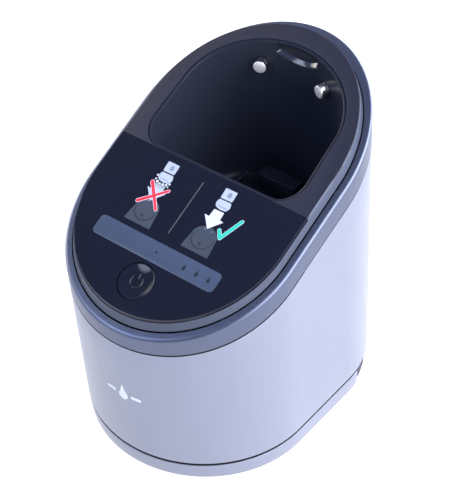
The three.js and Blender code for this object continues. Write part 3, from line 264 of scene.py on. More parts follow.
def band_paint():
    s = Shader("blue_grey_paint", (0.132, 0.152, 0.228), 0.36, 0.85,
               Specular_IOR_Level=0.25)
    s.vary_color(s.noise(80, 3), (0.124, 0.143, 0.215))
    s.vary_roughness(s.noise(400, 3), 0.03)
    s.bump(s.noise(9000, 2), 0.003, 0.4)
    return s.material


def bevel_painted_reflection():
    # Painted reflection: a lighter blue-grey for the cover's gloss black side, standing in for the light
    # it reflects.
    s = Shader("bevel_grey_painted_reflection", (0.080, 0.094, 0.138), 0.34, 0.6,
               Specular_IOR_Level=0.25)
    s.vary_roughness(s.noise(300, 4), 0.04)
    s.bump(s.noise(6000, 2), 0.004, 0.4)
    return s.material


def matte_plastic():
    """Fine spark-eroded texture."""
    s = Shader("matte_black_plastic", (0.010, 0.0115, 0.027), 0.52, Specular_IOR_Level=0.38)
    s.wear_edges((0.028, 0.0307, 0.0586))
    s.vary_roughness(s.noise(250, 4), 0.05)
    s.bump(s.noise(5200, 3), 0.035, 0.7)
    return s.material


def gloss_plastic(name, color, rough, shine=0.5):
    s = Shader(name, color, rough, Specular_IOR_Level=shine)
    s.vary_roughness(s.noise(120, 5), 0.025)
    s.bump(s.noise(140, 2), 0.03, 0.05)
    return s.material


def lens_plastic():
    s = Shader("smoked_lens", (0.050, 0.070, 0.122), 0.2)
    s.vary_color(s.noise(180, 3), (0.046, 0.064, 0.112))
    s.vary_roughness(s.noise(700, 3), 0.04)
    s.bump(s.noise(3000, 2), 0.004, 0.4)
    return s.material


def print_ink(name, color):
    """Screen print: slightly uneven in colour and slightly raised grain."""
    s = Shader(name, color, 0.38)
    s.vary_color(s.noise(1500, 3), tuple(c * 0.9 for c in color))
    s.vary_roughness(s.noise(900, 3), 0.06)
    s.bump(s.noise(7000, 2), 0.004, 0.5)
    return s.material


def metal(name, color, rough):
    s = Shader(name, color, rough, 1.0)
    s.wear_edges(tuple(min(1, c * 1.2) for c in color))
    s.vary_roughness(s.noise(1200, 4), min(0.12, rough * 0.5))
    s.bump(s.noise(3500), 0.006, 0.6)
    return s.material


def moulded(name, color, rough=0.5, metallic=0.0):
    s = Shader(name, color, rough, metallic)
    s.wear_edges(tuple(min(1, c * 1.3 + 0.01) for c in color))
    s.vary_roughness(s.noise(300, 4), 0.06)
    s.bump(s.noise(4000, 3), 0.02, 0.6)
    return s.material


def circuit_board():
    s = Shader("circuit_board", (0.015, 0.11, 0.045), 0.38)
    mapping = s.node("ShaderNodeMapping")
    s.set(mapping, "Rotation", (0, 0, math.pi / 4))
    s.link(s.position, mapping, "Vector")
    tracks = s.node("ShaderNodeTexBrick")
    s.set(tracks, "Scale", 260)
    s.set(tracks, "Mortar Size", 0.06)
    s.link(mapping.outputs["Vector"], tracks, "Vector")
    s.vary_color(tracks.outputs["Fac"], (0.03, 0.17, 0.07), 0, 1)
    s.bump(tracks.outputs["Fac"], 0.03, 0.7)
    return s.material


def coil_copper():
    s = Shader("coil_copper", (0.62, 0.27, 0.13), 0.3, 1.0)
    rings = s.node("ShaderNodeTexWave", wave_type="RINGS", rings_direction="Z")
    s.set(rings, "Scale", 330)
    shifted = s.node("ShaderNodeMapping")
    s.set(shifted, "Location", (0, -DRAIN_Y * MM, 0))
    s.link(s.position, shifted, "Vector")
    s.link(shifted.outputs["Vector"], rings, "Vector")
    s.vary_color(rings.outputs["Fac"], (0.3, 0.1, 0.04), 0.2, 0.9)
    s.bump(rings.outputs["Fac"], 0.2, 0.8)
    return s.material


def foot_rubber():
    s = Shader("foot_rubber", (0.012, 0.012, 0.013), 0.82)
    s.vary_roughness(s.noise(600, 4), 0.08)
    s.bump(s.noise(1600, 4), 0.05, 0.8)
    return s.material


def silicone():
    s = Shader("silicone_tube", (0.62, 0.65, 0.63), 0.3, Subsurface_Weight=0.15,
               Subsurface_Scale=0.002)
    s.vary_roughness(s.noise(500, 3), 0.06)
    s.bump(s.noise(900, 2), 0.01, 0.4)
    return s.material


INKS = {
    "ink_pale": (0.46, 0.52, 0.67),
    "ink_shade": (0.22, 0.26, 0.38),
    "ink_white": (0.66, 0.69, 0.79),
    "ink_grey": (0.042, 0.055, 0.083),
    "ink_dark": (0.010, 0.013, 0.024),
    "ink_line": (0.11, 0.12, 0.15),
    "ink_red": (0.95, 0.03, 0.06),
    "ink_green": (0.015, 0.55, 0.42),
}

LOOKS = {
    "silver": silver_paint(),
    "band": band_paint(),
    "bevel": bevel_painted_reflection(),
    "matte": matte_plastic(),
    "gloss": gloss_plastic("gloss_black_plastic", (0.0045, 0.0057, 0.0155), 0.08),
    "well": gloss_plastic("well_black_plastic", (0.015, 0.018, 0.031), 0.32, 0.14),
    "lens": lens_plastic(),
    "steel": metal("plain_steel", (0.56, 0.57, 0.59), 0.28),
    # Painted light: a paler, half-diffuse copy of the pins' metal, for their end faces.
    "pin": moulded("pin_face_painted_light", (0.80, 0.77, 0.79), 0.4, 0.5),
    "nickel": metal("nickel_plate", (0.86, 0.85, 0.84), 0.2),
    "copper": coil_copper(),
    "contact": metal("contact_alloy", (0.72, 0.42, 0.24), 0.3),
    "rubber": foot_rubber(),
    "grey": moulded("moulded_grey", (0.11, 0.115, 0.13)),
    "white": moulded("moulded_white", (0.72, 0.72, 0.69), 0.42),
    "board": circuit_board(),
    "tube": silicone(),
    "light": gloss_plastic("light_epoxy", (0.72, 0.78, 0.86), 0.12),
    # Painted highlight: a lighter, glossier copy of the well's black for the scoop's ledge.
    "recess": gloss_plastic("recess_gloss_painted_highlight", (0.02, 0.025, 0.045), 0.14, 1.0),
    # Painted shade: a near-black look for the faces inside the seams, so the seams read dark.
    "gap": moulded("gap_painted_shade", (0.004, 0.004, 0.006), 0.8),
}
LOOKS.update((name, print_ink(name, color)) for name, color in INKS.items())

# ---- Mesh helpers ----


def link(mesh, name, look, sharp=32):
    mesh.materials.append(LOOKS[look])
    mesh.shade_smooth()
    mesh.set_sharp_from_angle(angle=math.radians(sharp))
    made = bpy.data.objects.new(name, mesh)
    bpy.context.scene.collection.objects.link(made)
    return made


def from_bmesh(shape, name, look, sharp=32):
    bmesh.ops.recalc_face_normals(shape, faces=shape.faces)
    mesh = bpy.data.meshes.new(name)
    shape.to_mesh(mesh)
    shape.free()
    return link(mesh, name, look, sharp)


def loft(name, rings, look, closed=True, sharp=32):
    """Joins rings of equal length. A closed loft is a tube round on itself, an open one is capped."""
    shape = bmesh.new()
    made = [[shape.verts.new(Vector(p) * MM) for p in ring] for ring in rings]
    pairs = list(zip(made, made[1:]))
    if closed:
        pairs.append((made[-1], made[0]))
    else:
        shape.faces.new(made[0])
        shape.faces.new(made[-1])
    count = len(rings[0])
    for low, high in pairs:
        for i in range(count):
            j = (i + 1) % count
            shape.faces.new((low[i], low[j], high[j], high[i]))
    return from_bmesh(shape, name, look, sharp)


def turned(name, profile, look, place=Matrix.Identity(4), segments=48):
    """A solid of revolution about Z. The profile starts and ends on the axis, or closes."""
    shape = bmesh.new()
    rings = []
    for radius, height in profile:
        if radius == 0:
            rings.append([shape.verts.new(Vector((0, 0, height)))])
            continue
        rings.append([
            shape.verts.new(Vector((radius * math.cos(a), radius * math.sin(a), height)))
            for a in (2 * math.pi * i / segments for i in range(segments))
        ])
    pairs = list(zip(rings, rings[1:]))
    if len(rings[0]) > 1:
        pairs.append((rings[-1], rings[0]))
    for low, high in pairs:
        for i in range(segments):
            j = (i + 1) % segments
            corners = [low[i % len(low)], low[j % len(low)], high[j % len(high)], high[i % len(high)]]
            shape.faces.new(list(dict.fromkeys(corners)))
    bmesh.ops.transform(shape, matrix=Matrix.Scale(MM, 4) @ place, verts=shape.verts)
    return from_bmesh(shape, name, look)


def prism(name, points, low, high, look, place=Matrix.Identity(4)):
    """An extruded outline."""
    rings = [[place @ Vector((x, y, height)) for x, y in points] for height in (low, high)]
    return loft(name, rings, look, closed=False)


def settle(piece):
    """Applies a piece's modifiers."""
    graph = bpy.context.evaluated_depsgraph_get()
    mesh = bpy.data.meshes.new_from_object(piece.evaluated_get(graph))
    piece.modifiers.clear()
    piece.data = mesh
    mesh.shade_smooth()
    mesh.set_sharp_from_angle(angle=math.radians(32))
    return piece


def boolean(piece, others, operation="DIFFERENCE"):
    """Cuts other pieces from a piece, or joins or intersects them with it."""
    for other in others:
        modifier = piece.modifiers.new("boolean", "BOOLEAN")
        modifier.operation = operation
        modifier.solver = "EXACT"
        modifier.object = other
        settle(piece)
        bpy.data.objects.remove(other)
    return piece


def bevel(piece, width, segments=3):
    modifier = piece.modifiers.new("bevel", "BEVEL")
    modifier.width = width * MM
    modifier.segments = segments
    modifier.limit_method = "ANGLE"
    modifier.angle_limit = math.radians(35)
    modifier.harden_normals = False
    return settle(piece)


def swept(name, points, radius, look):
    """A round wire through points, with flat ends."""
    curve = bpy.data.curves.new(name, "CURVE")
    curve.dimensions = "3D"
    curve.bevel_depth = radius * MM
    curve.bevel_resolution = 3
    curve.use_fill_caps = True
    spline = curve.splines.new("POLY")
    spline.points.add(len(points) - 1)
    for point, target in zip(points, spline.points):
        target.co = (*(Vector(point) * MM), 1)
    carrier = bpy.data.objects.new(name, curve)
    bpy.context.scene.collection.objects.link(carrier)
    graph = bpy.context.evaluated_depsgraph_get()
    mesh = bpy.data.meshes.new_from_object(carrier.evaluated_get(graph))
    mesh.name = name
    bpy.data.objects.remove(carrier)
    mesh.materials.clear()
    return link(mesh, name, look, 60)


def paint(piece, look, chosen):
    """Gives another material to the faces that a test of centre and normal picks, in millimetres."""
    piece.data.materials.append(LOOKS[look])
    for face in piece.data.polygons:
        if chosen(face.center / MM, face.normal):
            face.material_index = len(piece.data.materials) - 1


def keep(piece, body, slot, *nodes):
    """Files a finished piece under what it rides on and hides the CAD nodes it stands for. Its slot is
    not used.
    """
    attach(piece, body)
    if nodes:
        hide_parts(*nodes)
    return piece


# ---- Outlines ----


def body_outline(inset=0.0, rear_inset=None, arc_steps=ARC_STEPS):
    """The body's plan: half ellipses joined by straight sides, anticlockwise from the left side."""
    rear_inset = inset if rear_inset is None else rear_inset
    half = HALF_WIDTH - inset
    points = []
    for i in range(arc_steps + 1):
        a = math.pi + math.pi * i / arc_steps
        points.append((half * math.cos(a), FRONT_CENTRE_Y + (FRONT_DEPTH - inset) * math.sin(a)))
    side = REAR_CENTRE_Y - FRONT_CENTRE_Y
    points += [(half, FRONT_CENTRE_Y + side * i / SIDE_STEPS) for i in range(1, SIDE_STEPS)]
    for i in range(arc_steps + 1):
        a = math.pi * i / arc_steps
        points.append((half * math.cos(a), REAR_CENTRE_Y + (REAR_DEPTH - rear_inset) * math.sin(a)))
    points += [(-half, REAR_CENTRE_Y - side * i / SIDE_STEPS) for i in range(1, SIDE_STEPS)]
    return points


def leaned(y, z):
    """Leans the rear of the body in towards its foot."""
    if y <= REAR_CENTRE_Y:
        return y
    scale = 1 - REAR_LEAN * (LEAN_Z - z) / REAR_DEPTH
    return REAR_CENTRE_Y + (y - REAR_CENTRE_Y) * scale


def body_ring(inset, height):
    """A ring of the body's outline, at a height given as a number or as a function of y."""
    height_at = height if callable(height) else lambda y: height
    ring = []
    for x, y in body_outline(inset):
        v = leaned(y, height_at(y))
        ring.append((x, v, height_at(v)))
    return ring


def below_top(depth):
    return lambda y: top_z(y) - depth


def cover_ring(depth, grow=0.0):
    """A ring of the top cover's outline, flaring with its depth under the top."""
    flare = COVER_BEVEL * depth / COVER_DEPTH + grow
    outline = body_outline(COVER_INSET - flare, COVER_REAR_INSET - flare)
    return [(x, y, top_z(y) - depth) for x, y in outline]


def band_edge(y):
    """Height of the trim band's lower edge."""
    t = y / HALF_DEPTH
    middle, tilt, sag, twist = BAND_CURVE
    return top_z(y) - middle - tilt * t - sag * t**2 - twist * t**3


def arc(cx, cy, radius, start, end, steps):
    return [
        (cx + radius * math.cos(a), cy + radius * math.sin(a))
        for a in (math.radians(start + (end - start) * i / steps) for i in range(steps + 1))
    ]


def between(a, b, steps):
    """Points after a and before b."""
    return [tuple(u + (v - u) * i / steps for u, v in zip(a, b)) for i in range(1, steps)]


def well_outline(grow=0.0):
    """The well's plan: straight front, round corners, an elliptical rear."""
    half = WELL_HALF_WIDTH + grow
    corner = WELL_CORNER + grow
    front = WELL_FRONT_Y - grow
    right = arc(half - corner, front + corner, corner, -90, 0, 16)
    left = arc(-half + corner, front + corner, corner, 180, 270, 16)
    rear_half = WELL_REAR_HALF_WIDTH + grow
    rear_depth = WELL_REAR_Y - WELL_REAR_CENTRE_Y + grow
    rear = [(x * rear_half, WELL_REAR_CENTRE_Y + y * rear_depth)
            for x, y in arc(0, 0, 1, 0, 180, 180)]
    return (between(left[-1], right[0], 24) + right + between(right[-1], rear[0], 8) + rear
            + between(rear[-1], left[0], 8) + left)


def rounded_rectangle(width, height, radius, steps=8):
    x, y = width / 2 - radius, height / 2 - radius
    return (arc(x, -y, radius, -90, 0, steps) + arc(x, y, radius, 0, 90, steps)
            + arc(-x, y, radius, 90, 180, steps) + arc(-x, -y, radius, 180, 270, steps))


def on_top(x, y):
    """A matrix that stands a piece on the sloped top, its +Z along the top's normal."""
    return Matrix.Translation((x, y, top_z(y))) @ Matrix.Rotation(SLOPE_ANGLE, 4, "X")


def facing_rear(y, z):
    """A matrix that lays a piece's +Z along +Y."""
    return Matrix.Translation((0, y, z)) @ Matrix.Rotation(math.radians(-90), 4, "X")


# ---- Housing shells ----


def housing_shell():
    low = SHELL_BOTTOM - SEAM_DROP + LOWER_GAP / 2
    edge = 0.3
    top = [lambda y, d=d: band_edge(y) - UPPER_GAP - d for d in (edge, 0.08, 0)]
    rings = [body_ring(SHELL_WALL, low), body_ring(edge, low), body_ring(0.08, low + 0.08),
             body_ring(0, low + edge)]
    start = low + 3
    steps = 6
    for i in range(steps):
        share = i / steps
        rings.append(body_ring(
            0, lambda y, s=share: start + s * (band_edge(y) - UPPER_GAP - 3 - start)))
    rings += [body_ring(0, top[0]), body_ring(0.08, top[1]), body_ring(edge, top[2]),
              body_ring(SHELL_WALL, top[2])]
    shell = loft("shell", rings, "silver")
    mouth = rounded_rectangle(80, 100, 8, 12)
    holes = [prism("mouth", mouth, 0, 90, "silver", facing_rear(24, 0))]
    for middle_z, outline in ((RELEASE_Z, rounded_rectangle(24.7, 8.7, 2.2)),
                              (INLET_Z, rounded_rectangle(16.6, 10.6, 1.3))):
        holes.append(prism("rear_hole", outline, 0, 60, "silver", facing_rear(40, middle_z)))
    boolean(shell, holes)
    # Painted shade: the shell's edge faces at its top and bottom seams get the near-black look.
    paint(shell, "gap", lambda c, n: c.z < low + 0.04 or c.z > band_edge(c.y) - UPPER_GAP - 0.04)
    return keep(shell, "housing", "satin_silver", "housing_shell")


def trim_band():
    levels = [(BAND_WALL, lambda y: band_edge(y) + 0.1)]
    levels += [(inset, lambda y, r=rise: band_edge(y) + r)
               for inset, rise in ((0.3, 0.1), (0.08, 0.2), (0, 0.45))]
    for share in (0.0, 0.35, 0.7):
        levels.append((0, lambda y, s=share: band_edge(y) + 1
                       + s * (top_z(y) - BAND_SHOULDER_LOW - band_edge(y) - 1)))
    radius = 1.35
    steps = 8
    for i in range(steps + 1):
        a = math.pi / 2 * i / steps
        levels.append((radius * (1 - math.cos(a)),
                       below_top(BAND_SHOULDER_LOW - radius * math.sin(a))))
    rings = [body_ring(inset, height) for inset, height in levels]
    rings += [cover_ring(BAND_SHOULDER_HIGH, 0.42), cover_ring(BAND_SHOULDER_HIGH + 0.12, 0.3),
              cover_ring(BAND_SHOULDER_HIGH + 1.2, 0)]
    band = loft("band", rings, "band")
    # Painted shade: the band's lower edge faces, in the seam over the shell, get the near-black look.
    paint(band, "gap", lambda c, n: c.z < band_edge(c.y) + 0.12)
    return keep(band, "housing", "trim_metal", "trim_band")


def button_hole():
    radius = BUTTON_RADIUS + 0.28
    return turned("hole", [(0, -12), (radius, -12), (radius, 4), (0, 4)], "matte",
                  on_top(0, BUTTON_Y), 72)


def top_cover():
    """The matte rim with its bevelled side, whose lighter grey is a painted reflection."""
    top = [(0.55, 0), (0.22, 0.05), (0.06, 0.18), (0, 0.42)]
    rings = [cover_ring(d, -g) for g, d in top]
    rings += [cover_ring(d) for d in (1.4, 2.4, 3.4, COVER_DEPTH - 0.3)]
    rings += [cover_ring(COVER_DEPTH, -0.2), cover_ring(COVER_DEPTH, -COVER_WALL),
              cover_ring(COVER_PLATE + 0.6, -COVER_WALL - 0.4), cover_ring(COVER_PLATE, -COVER_WALL - 1)]
    cover = loft("cover", rings, "matte", closed=False)
    well = prism("well_hole", well_outline(LIP_WALL + 0.12), 40, 200, "matte")
    recess_rings = [cover_ring(PANEL_THICKNESS + 0.15, 3), cover_ring(-4, 3)]
    recess = loft("recess", recess_rings, "matte", closed=False)
    front = prism("front_half", rounded_rectangle(300, 200, 1), 0, 300, "matte",
                  Matrix.Translation((0, PANEL_REAR_Y - 100, 0)))
    boolean(recess, [front], "INTERSECT")
    slot = prism("light_slot", rounded_rectangle(60, 6, 2), -12, 3, "matte", on_top(0, LENS_Y))
    boolean(cover, [well, recess, slot, button_hole()])

    def on_side(centre, normal):
        depth = top_z(centre.y) - centre.z
        return abs(normal.z) < 0.85 and 0.3 < depth < COVER_DEPTH + 0.1 and past_cover(centre, 1.2)

    # Painted reflection: the cover's bevelled side gets the lighter grey look.
    paint(cover, "bevel", on_side)
    return keep(cover, "housing", "matte_black", "top_cover")


def past_cover(point, inset):
    """Whether a point lies outside the cover's outline, drawn in by an inset."""
    across = point.x / (HALF_WIDTH - COVER_INSET - inset)
    along = 0
    if point.y < FRONT_CENTRE_Y:
        along = (point.y - FRONT_CENTRE_Y) / (FRONT_DEPTH - COVER_INSET - inset)
    elif point.y > REAR_CENTRE_Y:
        along = (point.y - REAR_CENTRE_Y) / (REAR_DEPTH - COVER_REAR_INSET - inset)
    return math.hypot(across, along) > 1


def panel_ring(inset, depth):
    """A ring of the front part of the cover's outline, closed by a straight rear edge."""
    inset_from_cover = inset + 0.05
    rear = PANEL_REAR_Y - 0.12 - inset
    half = HALF_WIDTH - COVER_INSET - inset_from_cover
    outline = body_outline(COVER_INSET + inset_from_cover, arc_steps=120)
    left = sorted((p for p in outline if p[1] < rear and p[0] < 0), key=lambda p: -p[1])
    right = sorted((p for p in outline if p[1] < rear and p[0] >= 0), key=lambda p: p[1])
    points = [(-half, rear)] + left + right + [(half, rear)]
    return [(x, y, top_z(y) - depth) for x, y in points]


def display_panel():
    levels = ((0.05, PANEL_THICKNESS), (0, PANEL_THICKNESS - 0.1), (0, 0.16), (0.05, 0.04), (0.18, 0))
    panel = loft("panel", [panel_ring(*level) for level in levels], "gloss", closed=False)
    width, height = LENS_SIZE
    opening = prism("lens_hole", rounded_rectangle(width + 0.12, height + 0.12, LENS_CORNER),
                    -4, 3, "gloss", on_top(0, LENS_Y))
    boolean(panel, [opening, button_hole()])
    return keep(panel, "housing", "gloss_black", "display_panel")


def indicator_lens():
    outline = rounded_rectangle(*LENS_SIZE, LENS_CORNER, 10)
    lens = prism("lens", outline, -0.8, -0.02, "lens", on_top(0, LENS_Y))
    bevel(lens, 0.08, 2)
    return keep(lens, "housing", "smoke_lens", "indicator_lens")


# ---- Shaver well ----

PIN_YAW = 20
SCOOP_HALF = 10.3
SCOOP_DEPTH = 3.2


def smooth(t):
    t = min(1, max(0, t))
    return t * t * (3 - 2 * t)


def scoop(x, y, depth):
    """How far the recess for the shaver's back cuts into the rear wall, under its lip."""
    if y < WELL_REAR_CENTRE_Y:
        return 0
    across = 1 - smooth((abs(x) - SCOOP_HALF + 0.5) / 0.7)
    ledge = 5.6 - 3.4 * min(1, abs(x) / SCOOP_HALF) ** 2
    recess = smooth((depth - 0.7) / 0.6) * (1 - min(1, max(0, (depth - ledge) / SCOOP_DEPTH)))
    channel = 0.5 * smooth(depth / 4) * (1 - smooth((depth - 22) / 16))
    return across * max(SCOOP_DEPTH * recess, channel)


def well_ring(share, grow=0.0, rise=0.0, shrink=1.0, scooped=True):
    """A ring of the well's wall, a share of the way from its mouth to its floor."""
    ring = []
    for x, y in well_outline(grow):
        mouth = top_z(y)
        z = mouth + (WELL_FLOOR_Z - mouth) * share + rise
        scale = (1 - (1 - WELL_TAPER) * share) * shrink
        u, v = x * scale, WELL_TAPER_Y + (y - WELL_TAPER_Y) * scale
        if scooped:
            v += scoop(u, v, mouth - z)
        ring.append((u, v, z))
    return ring


def pin_place(name):
    """Where a charge pin's tip is, looking into the wall, with the pin's length and radius."""
    yaw = math.radians(PIN_YAW if name.endswith("right") else -PIN_YAW)
    axis = Vector((math.sin(yaw), math.cos(yaw), 0))
    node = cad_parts[name]
    points = [node.matrix_world @ v.co / MM for v in node.data.vertices]
    along = [p.dot(axis) for p in points]
    face = [p for p, a in zip(points, along) if a < min(along) + 0.05]
    tip = sum(face, Vector()) / len(face)
    radius = (max(p.z for p in points) - min(p.z for p in points)) / 2
    place = (Matrix.Translation(tip) @ Matrix.Rotation(-yaw, 4, "Z")
             @ Matrix.Rotation(math.radians(-90), 4, "X"))
    return place, max(along) - min(along), radius


def cradle_bowl():
    rings = [well_ring(1, WELL_WALL - 0.2, -2.4, 0.9, False), well_ring(1, WELL_WALL, -2, 0.99, False)]
    rings += [well_ring(s, WELL_WALL, 0, 1, False) for s in (0.85, 0.6, 0.35, 0.1)]
    rings += [well_ring(0, WELL_WALL, -3.3, 1, False), well_ring(0, LIP_WALL, -3.2, 1, False)]
    rings += [well_ring(0, LIP_WALL, -0.55), well_ring(0, LIP_WALL - 0.1, -0.36),
              well_ring(0, LIP_WALL - 0.35, -0.3), well_ring(0, 0.35, -0.3), well_ring(0, 0.1, -0.4)]
    rings += [well_ring(0.012 + 0.15 * i / 26) for i in range(26)]
    rings += [well_ring(0.162 + 0.75 * i / 18) for i in range(19)]
    rings += [well_ring(0.955, 0, 0, 0.995), well_ring(0.985, 0, 0, 0.975), well_ring(1, 0, 0, 0.94),
              well_ring(1, 0, 0, 0.85, False)]
    bowl = loft("bowl", rings, "well", closed=False, sharp=50)
    cuts = []
    for side in ("left", "right"):
        place, _, radius = pin_place("charge_pin_" + side)
        bore = radius + 0.25
        hole = [(0, -4), (bore, -4), (bore, 18), (0, 18)]
        cuts.append(turned("pin_hole", hole, "well", place))
    floor = Matrix.Translation((0, DRAIN_Y, WELL_FLOOR_Z))
    seat = [(0, -1.3), (8.9, -1.3), (8.9, 2), (0, 2)]
    cuts.append(turned("sieve_seat", seat, "well", floor, 64))
    drain = [(0, -8), (5, -8), (5, 2), (0, 2)]
    cuts.append(turned("drain", drain, "well", floor))
    low, high = cad_box("spray_nozzle")
    nozzle = Matrix.Translation(((low.x + high.x) / 2, -8, (low.z + high.z) / 2))
    nozzle = nozzle @ Matrix.Rotation(math.radians(-90), 4, "X")
    cuts.append(turned("nozzle_hole", [(0, 0), (3.05, 0), (3.05, 16), (0, 16)], "well", nozzle))
    boolean(bowl, cuts)
    # Painted highlight: the scoop's ledge faces that turn up and to the front get the lighter, glossier
    # look.
    paint(bowl, "recess", lambda c, n: (abs(c.x) < SCOOP_HALF and c.y > WELL_REAR_CENTRE_Y
                                        and 1.5 < top_z(c.y) - c.z < 9 and n.z > 0.3 and n.y < 0))
    return keep(bowl, "housing", "gloss_black", "cradle_bowl")


def well_furniture():
    """The raised block and ribs on the well's floor that the shaver's head rests on."""
    block = prism("rest_block", rounded_rectangle(20, 7, 1.4), 0, 9, "well",
                  Matrix.Translation((0, 39, WELL_FLOOR_Z + 0.05)))
    bevel(block, 0.5)
    keep(block, "housing", "gloss_black")
    for number, (x, y, width, depth, height) in enumerate((
            (-17, 26, 2, 22, 6), (17, 26, 2, 22, 6), (0, 9.5, 26, 2, 4)), 1):
        rib = prism(f"floor_rib_{number}", rounded_rectangle(width, depth, 0.7), 0, height, "well",
                    Matrix.Translation((x, y, WELL_FLOOR_Z + 0.05)))
        bevel(rib, 0.4)
        keep(rib, "housing", "gloss_black")


def charge_pin(name):
    place, length, radius = pin_place(name)
    profile = [(0, -0.14), (radius - 1.5, -0.1), (radius - 0.7, 0), (radius - 0.25, 0.16),
               (radius - 0.05, 0.42), (radius, 0.8), (radius, 6.6), (radius - 0.3, 6.9),
               (1.5, 6.9), (1.5, length - 0.3), (1.2, length), (0, length)]
    pin = turned(name + "_plated", profile, "nickel", place, 64)
    facing = place.to_3x3() @ Vector((0, 0, -1))
    # Painted light: the pin's end face gets the paler look so it reads lit against its mirror sides.
    paint(pin, "pin", lambda c, n: n.dot(facing) > 0.6)
    return keep(pin, name, "bright_steel", name)


def drain_sieve():
    sieve = turned("sieve", [(0, -1), (8.5, -1), (8.6, -0.9), (8.6, -0.25), (8.3, 0), (0, 0.2)], "steel",
                   Matrix.Translation((0, DRAIN_Y, WELL_FLOOR_Z)), 64)
    holes = []
    for ring_radius, count in ((2.6, 6), (5.2, 12)):
        for i in range(count):
            a = 2 * math.pi * i / count
            place = Matrix.Translation((ring_radius * math.cos(a),
                                        DRAIN_Y + ring_radius * math.sin(a), WELL_FLOOR_Z))
            holes.append(turned("hole", [(0, -3), (0.7, -3), (0.7, 2), (0, 2)], "steel", place, 16))
    boolean(sieve, holes)
    return keep(sieve, "housing", "steel", "drain_sieve")


# ---- Base ----


def base_ring():
    low, high = RING_LOW.z - SEAM_DROP, RING_HIGH.z - SEAM_DROP - LOWER_GAP / 2
    taper, wall, edge = 0.45, 2, 0.3

    def inset_at(z):
        return taper * (high - z) / (high - low)

    rings = [body_ring(taper + wall, low), body_ring(taper + edge, low),
             body_ring(taper + 0.1, low + 0.12), body_ring(inset_at(low + edge), low + edge)]
    rings += [body_ring(inset_at(z), z) for z in (low + 3, low + 5.5, high - edge)]
    rings += [body_ring(0.1, high - 0.1), body_ring(edge, high), body_ring(taper + wall, high)]
    ring = loft("ring", rings, "silver")
    rear = prism("rear", rounded_rectangle(300, 200, 1), -5, 30, "silver",
                 Matrix.Translation((0, RING_HIGH.y + 100, 0)))
    boolean(ring, [rear])
    # Painted shade: the ring's top faces, in the seam under the shell, get the near-black look.
    paint(ring, "gap", lambda c, n: c.z > high - 0.04)
    return keep(ring, "base", "satin_silver", "base_ring")


def rubber_foot(name):
    low, high = cad_box(name)
    middle = (low + high) / 2
    radius = (high.x - low.x) / 2
    profile = [(0, 0.25), (2, 0.25), (2.3, 0), (radius - 0.9, 0), (radius - 0.4, 0.1),
               (radius - 0.1, 0.4), (radius, 0.9), (radius, high.z), (0, high.z)]
    foot = turned(name + "_moulded", profile, "rubber", Matrix.Translation((middle.x, middle.y, 0)), 48)
    return keep(foot, "base", "rubber", name)


def base_screw(name):
    low, high = cad_box(name)
    middle = (low + high) / 2
    head = 2.2
    profile = [(0, low.z), (head - 0.5, low.z), (head, low.z + 0.5), (head, low.z + 1.3),
               (head - 0.1, low.z + 1.4), (1, low.z + 1.4)]
    z = low.z + 2
    while z < high.z - 1.6:
        profile += [(1.15, z), (0.85, z + 0.35)]
        z += 0.8
    profile += [(0.9, high.z - 1), (0, high.z)]
    place = Matrix.Translation((middle.x, middle.y, 0))
    screw = turned(name + "_turned", profile, "steel", place, 24)
    cross = [prism("cross", rounded_rectangle(w, d, 0.1, 2), low.z - 1, low.z + 0.9, "steel", place)
             for w, d in ((2.6, 0.6), (0.6, 2.6))]
    boolean(screw, cross)
    return keep(screw, "base", "steel", name)


def lift_spring(side):
    """A wound coil in the lift spring's place, made at one length. The real spring stretches as the
    housing rises.
    """
    name = "lift_spring_" + side
    low, high = cad_box(name)
    middle = (low + high) / 2
    radius, wire, turns = 3.7, 0.4, 11
    bottom, top = low.z + wire, high.z - wire
    steps = turns * 28
    points = []
    for i in range(steps + 1):
        t = i / steps
        share = smooth_ends(t, 0.06)
        a = 2 * math.pi * turns * t
        points.append((middle.x + radius * math.cos(a), middle.y + radius * math.sin(a),
                       bottom + (top - bottom) * share))
    coil = swept(name + "_wound", points, wire, "steel")
    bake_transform(coil)
    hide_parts(name)
    return coil


def smooth_ends(t, end):
    """A share that starts and ends slowly, for a coil's closed turns."""
    if t < end:
        return t * 0.3
    if t > 1 - end:
        return 1 - (1 - t) * 0.3
    low = end * 0.3
    return low + (1 - 2 * low) * (t - end) / (1 - 2 * end)


def latch_spring():
    low, high = cad_box("latch_spring")
    middle = (low + high) / 2
    radius, wire, turns = 2.4, 0.28, 4
    front, rear = low.y + wire, high.y - wire
    steps = turns * 28
    points = []
    for i in range(steps + 1):
        t = i / steps
        a = 2 * math.pi * turns * t
        points.append((middle.x + radius * math.cos(a), front + (rear - front) * t,
                       middle.z + radius * math.sin(a)))
    coil = swept("latch_spring_wound", points, wire, "steel")
    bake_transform(coil)
    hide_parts("latch_spring")
    return coil


# ---- Rear controls ----


def release_button():
    low, high = cad_box("release_button")
    middle_z = (low.z + high.z) / 2
    face = prism("release_key", rounded_rectangle(24, 8, 2, 12), low.y, high.y, "matte",
                 facing_rear(0, middle_z))
    bevel(face, 0.7, 4)
    grooves = []
    for i in range(-3, 4):
        place = Matrix.Translation((i * 2.2, high.y + 0.25, middle_z))
        grooves.append(prism("groove", rounded_rectangle(0.8, 1.2, 0.35, 4), -2.4, 2.4, "matte", place))
    boolean(face, grooves)
    flange = prism("release_flange", rounded_rectangle(27, 11, 2), low.y, low.y + 2.0, "matte",
                   facing_rear(0, middle_z))
    boolean(face, [flange], "UNION")
    return keep(face, "release_latch", "matte_black", "release_button")


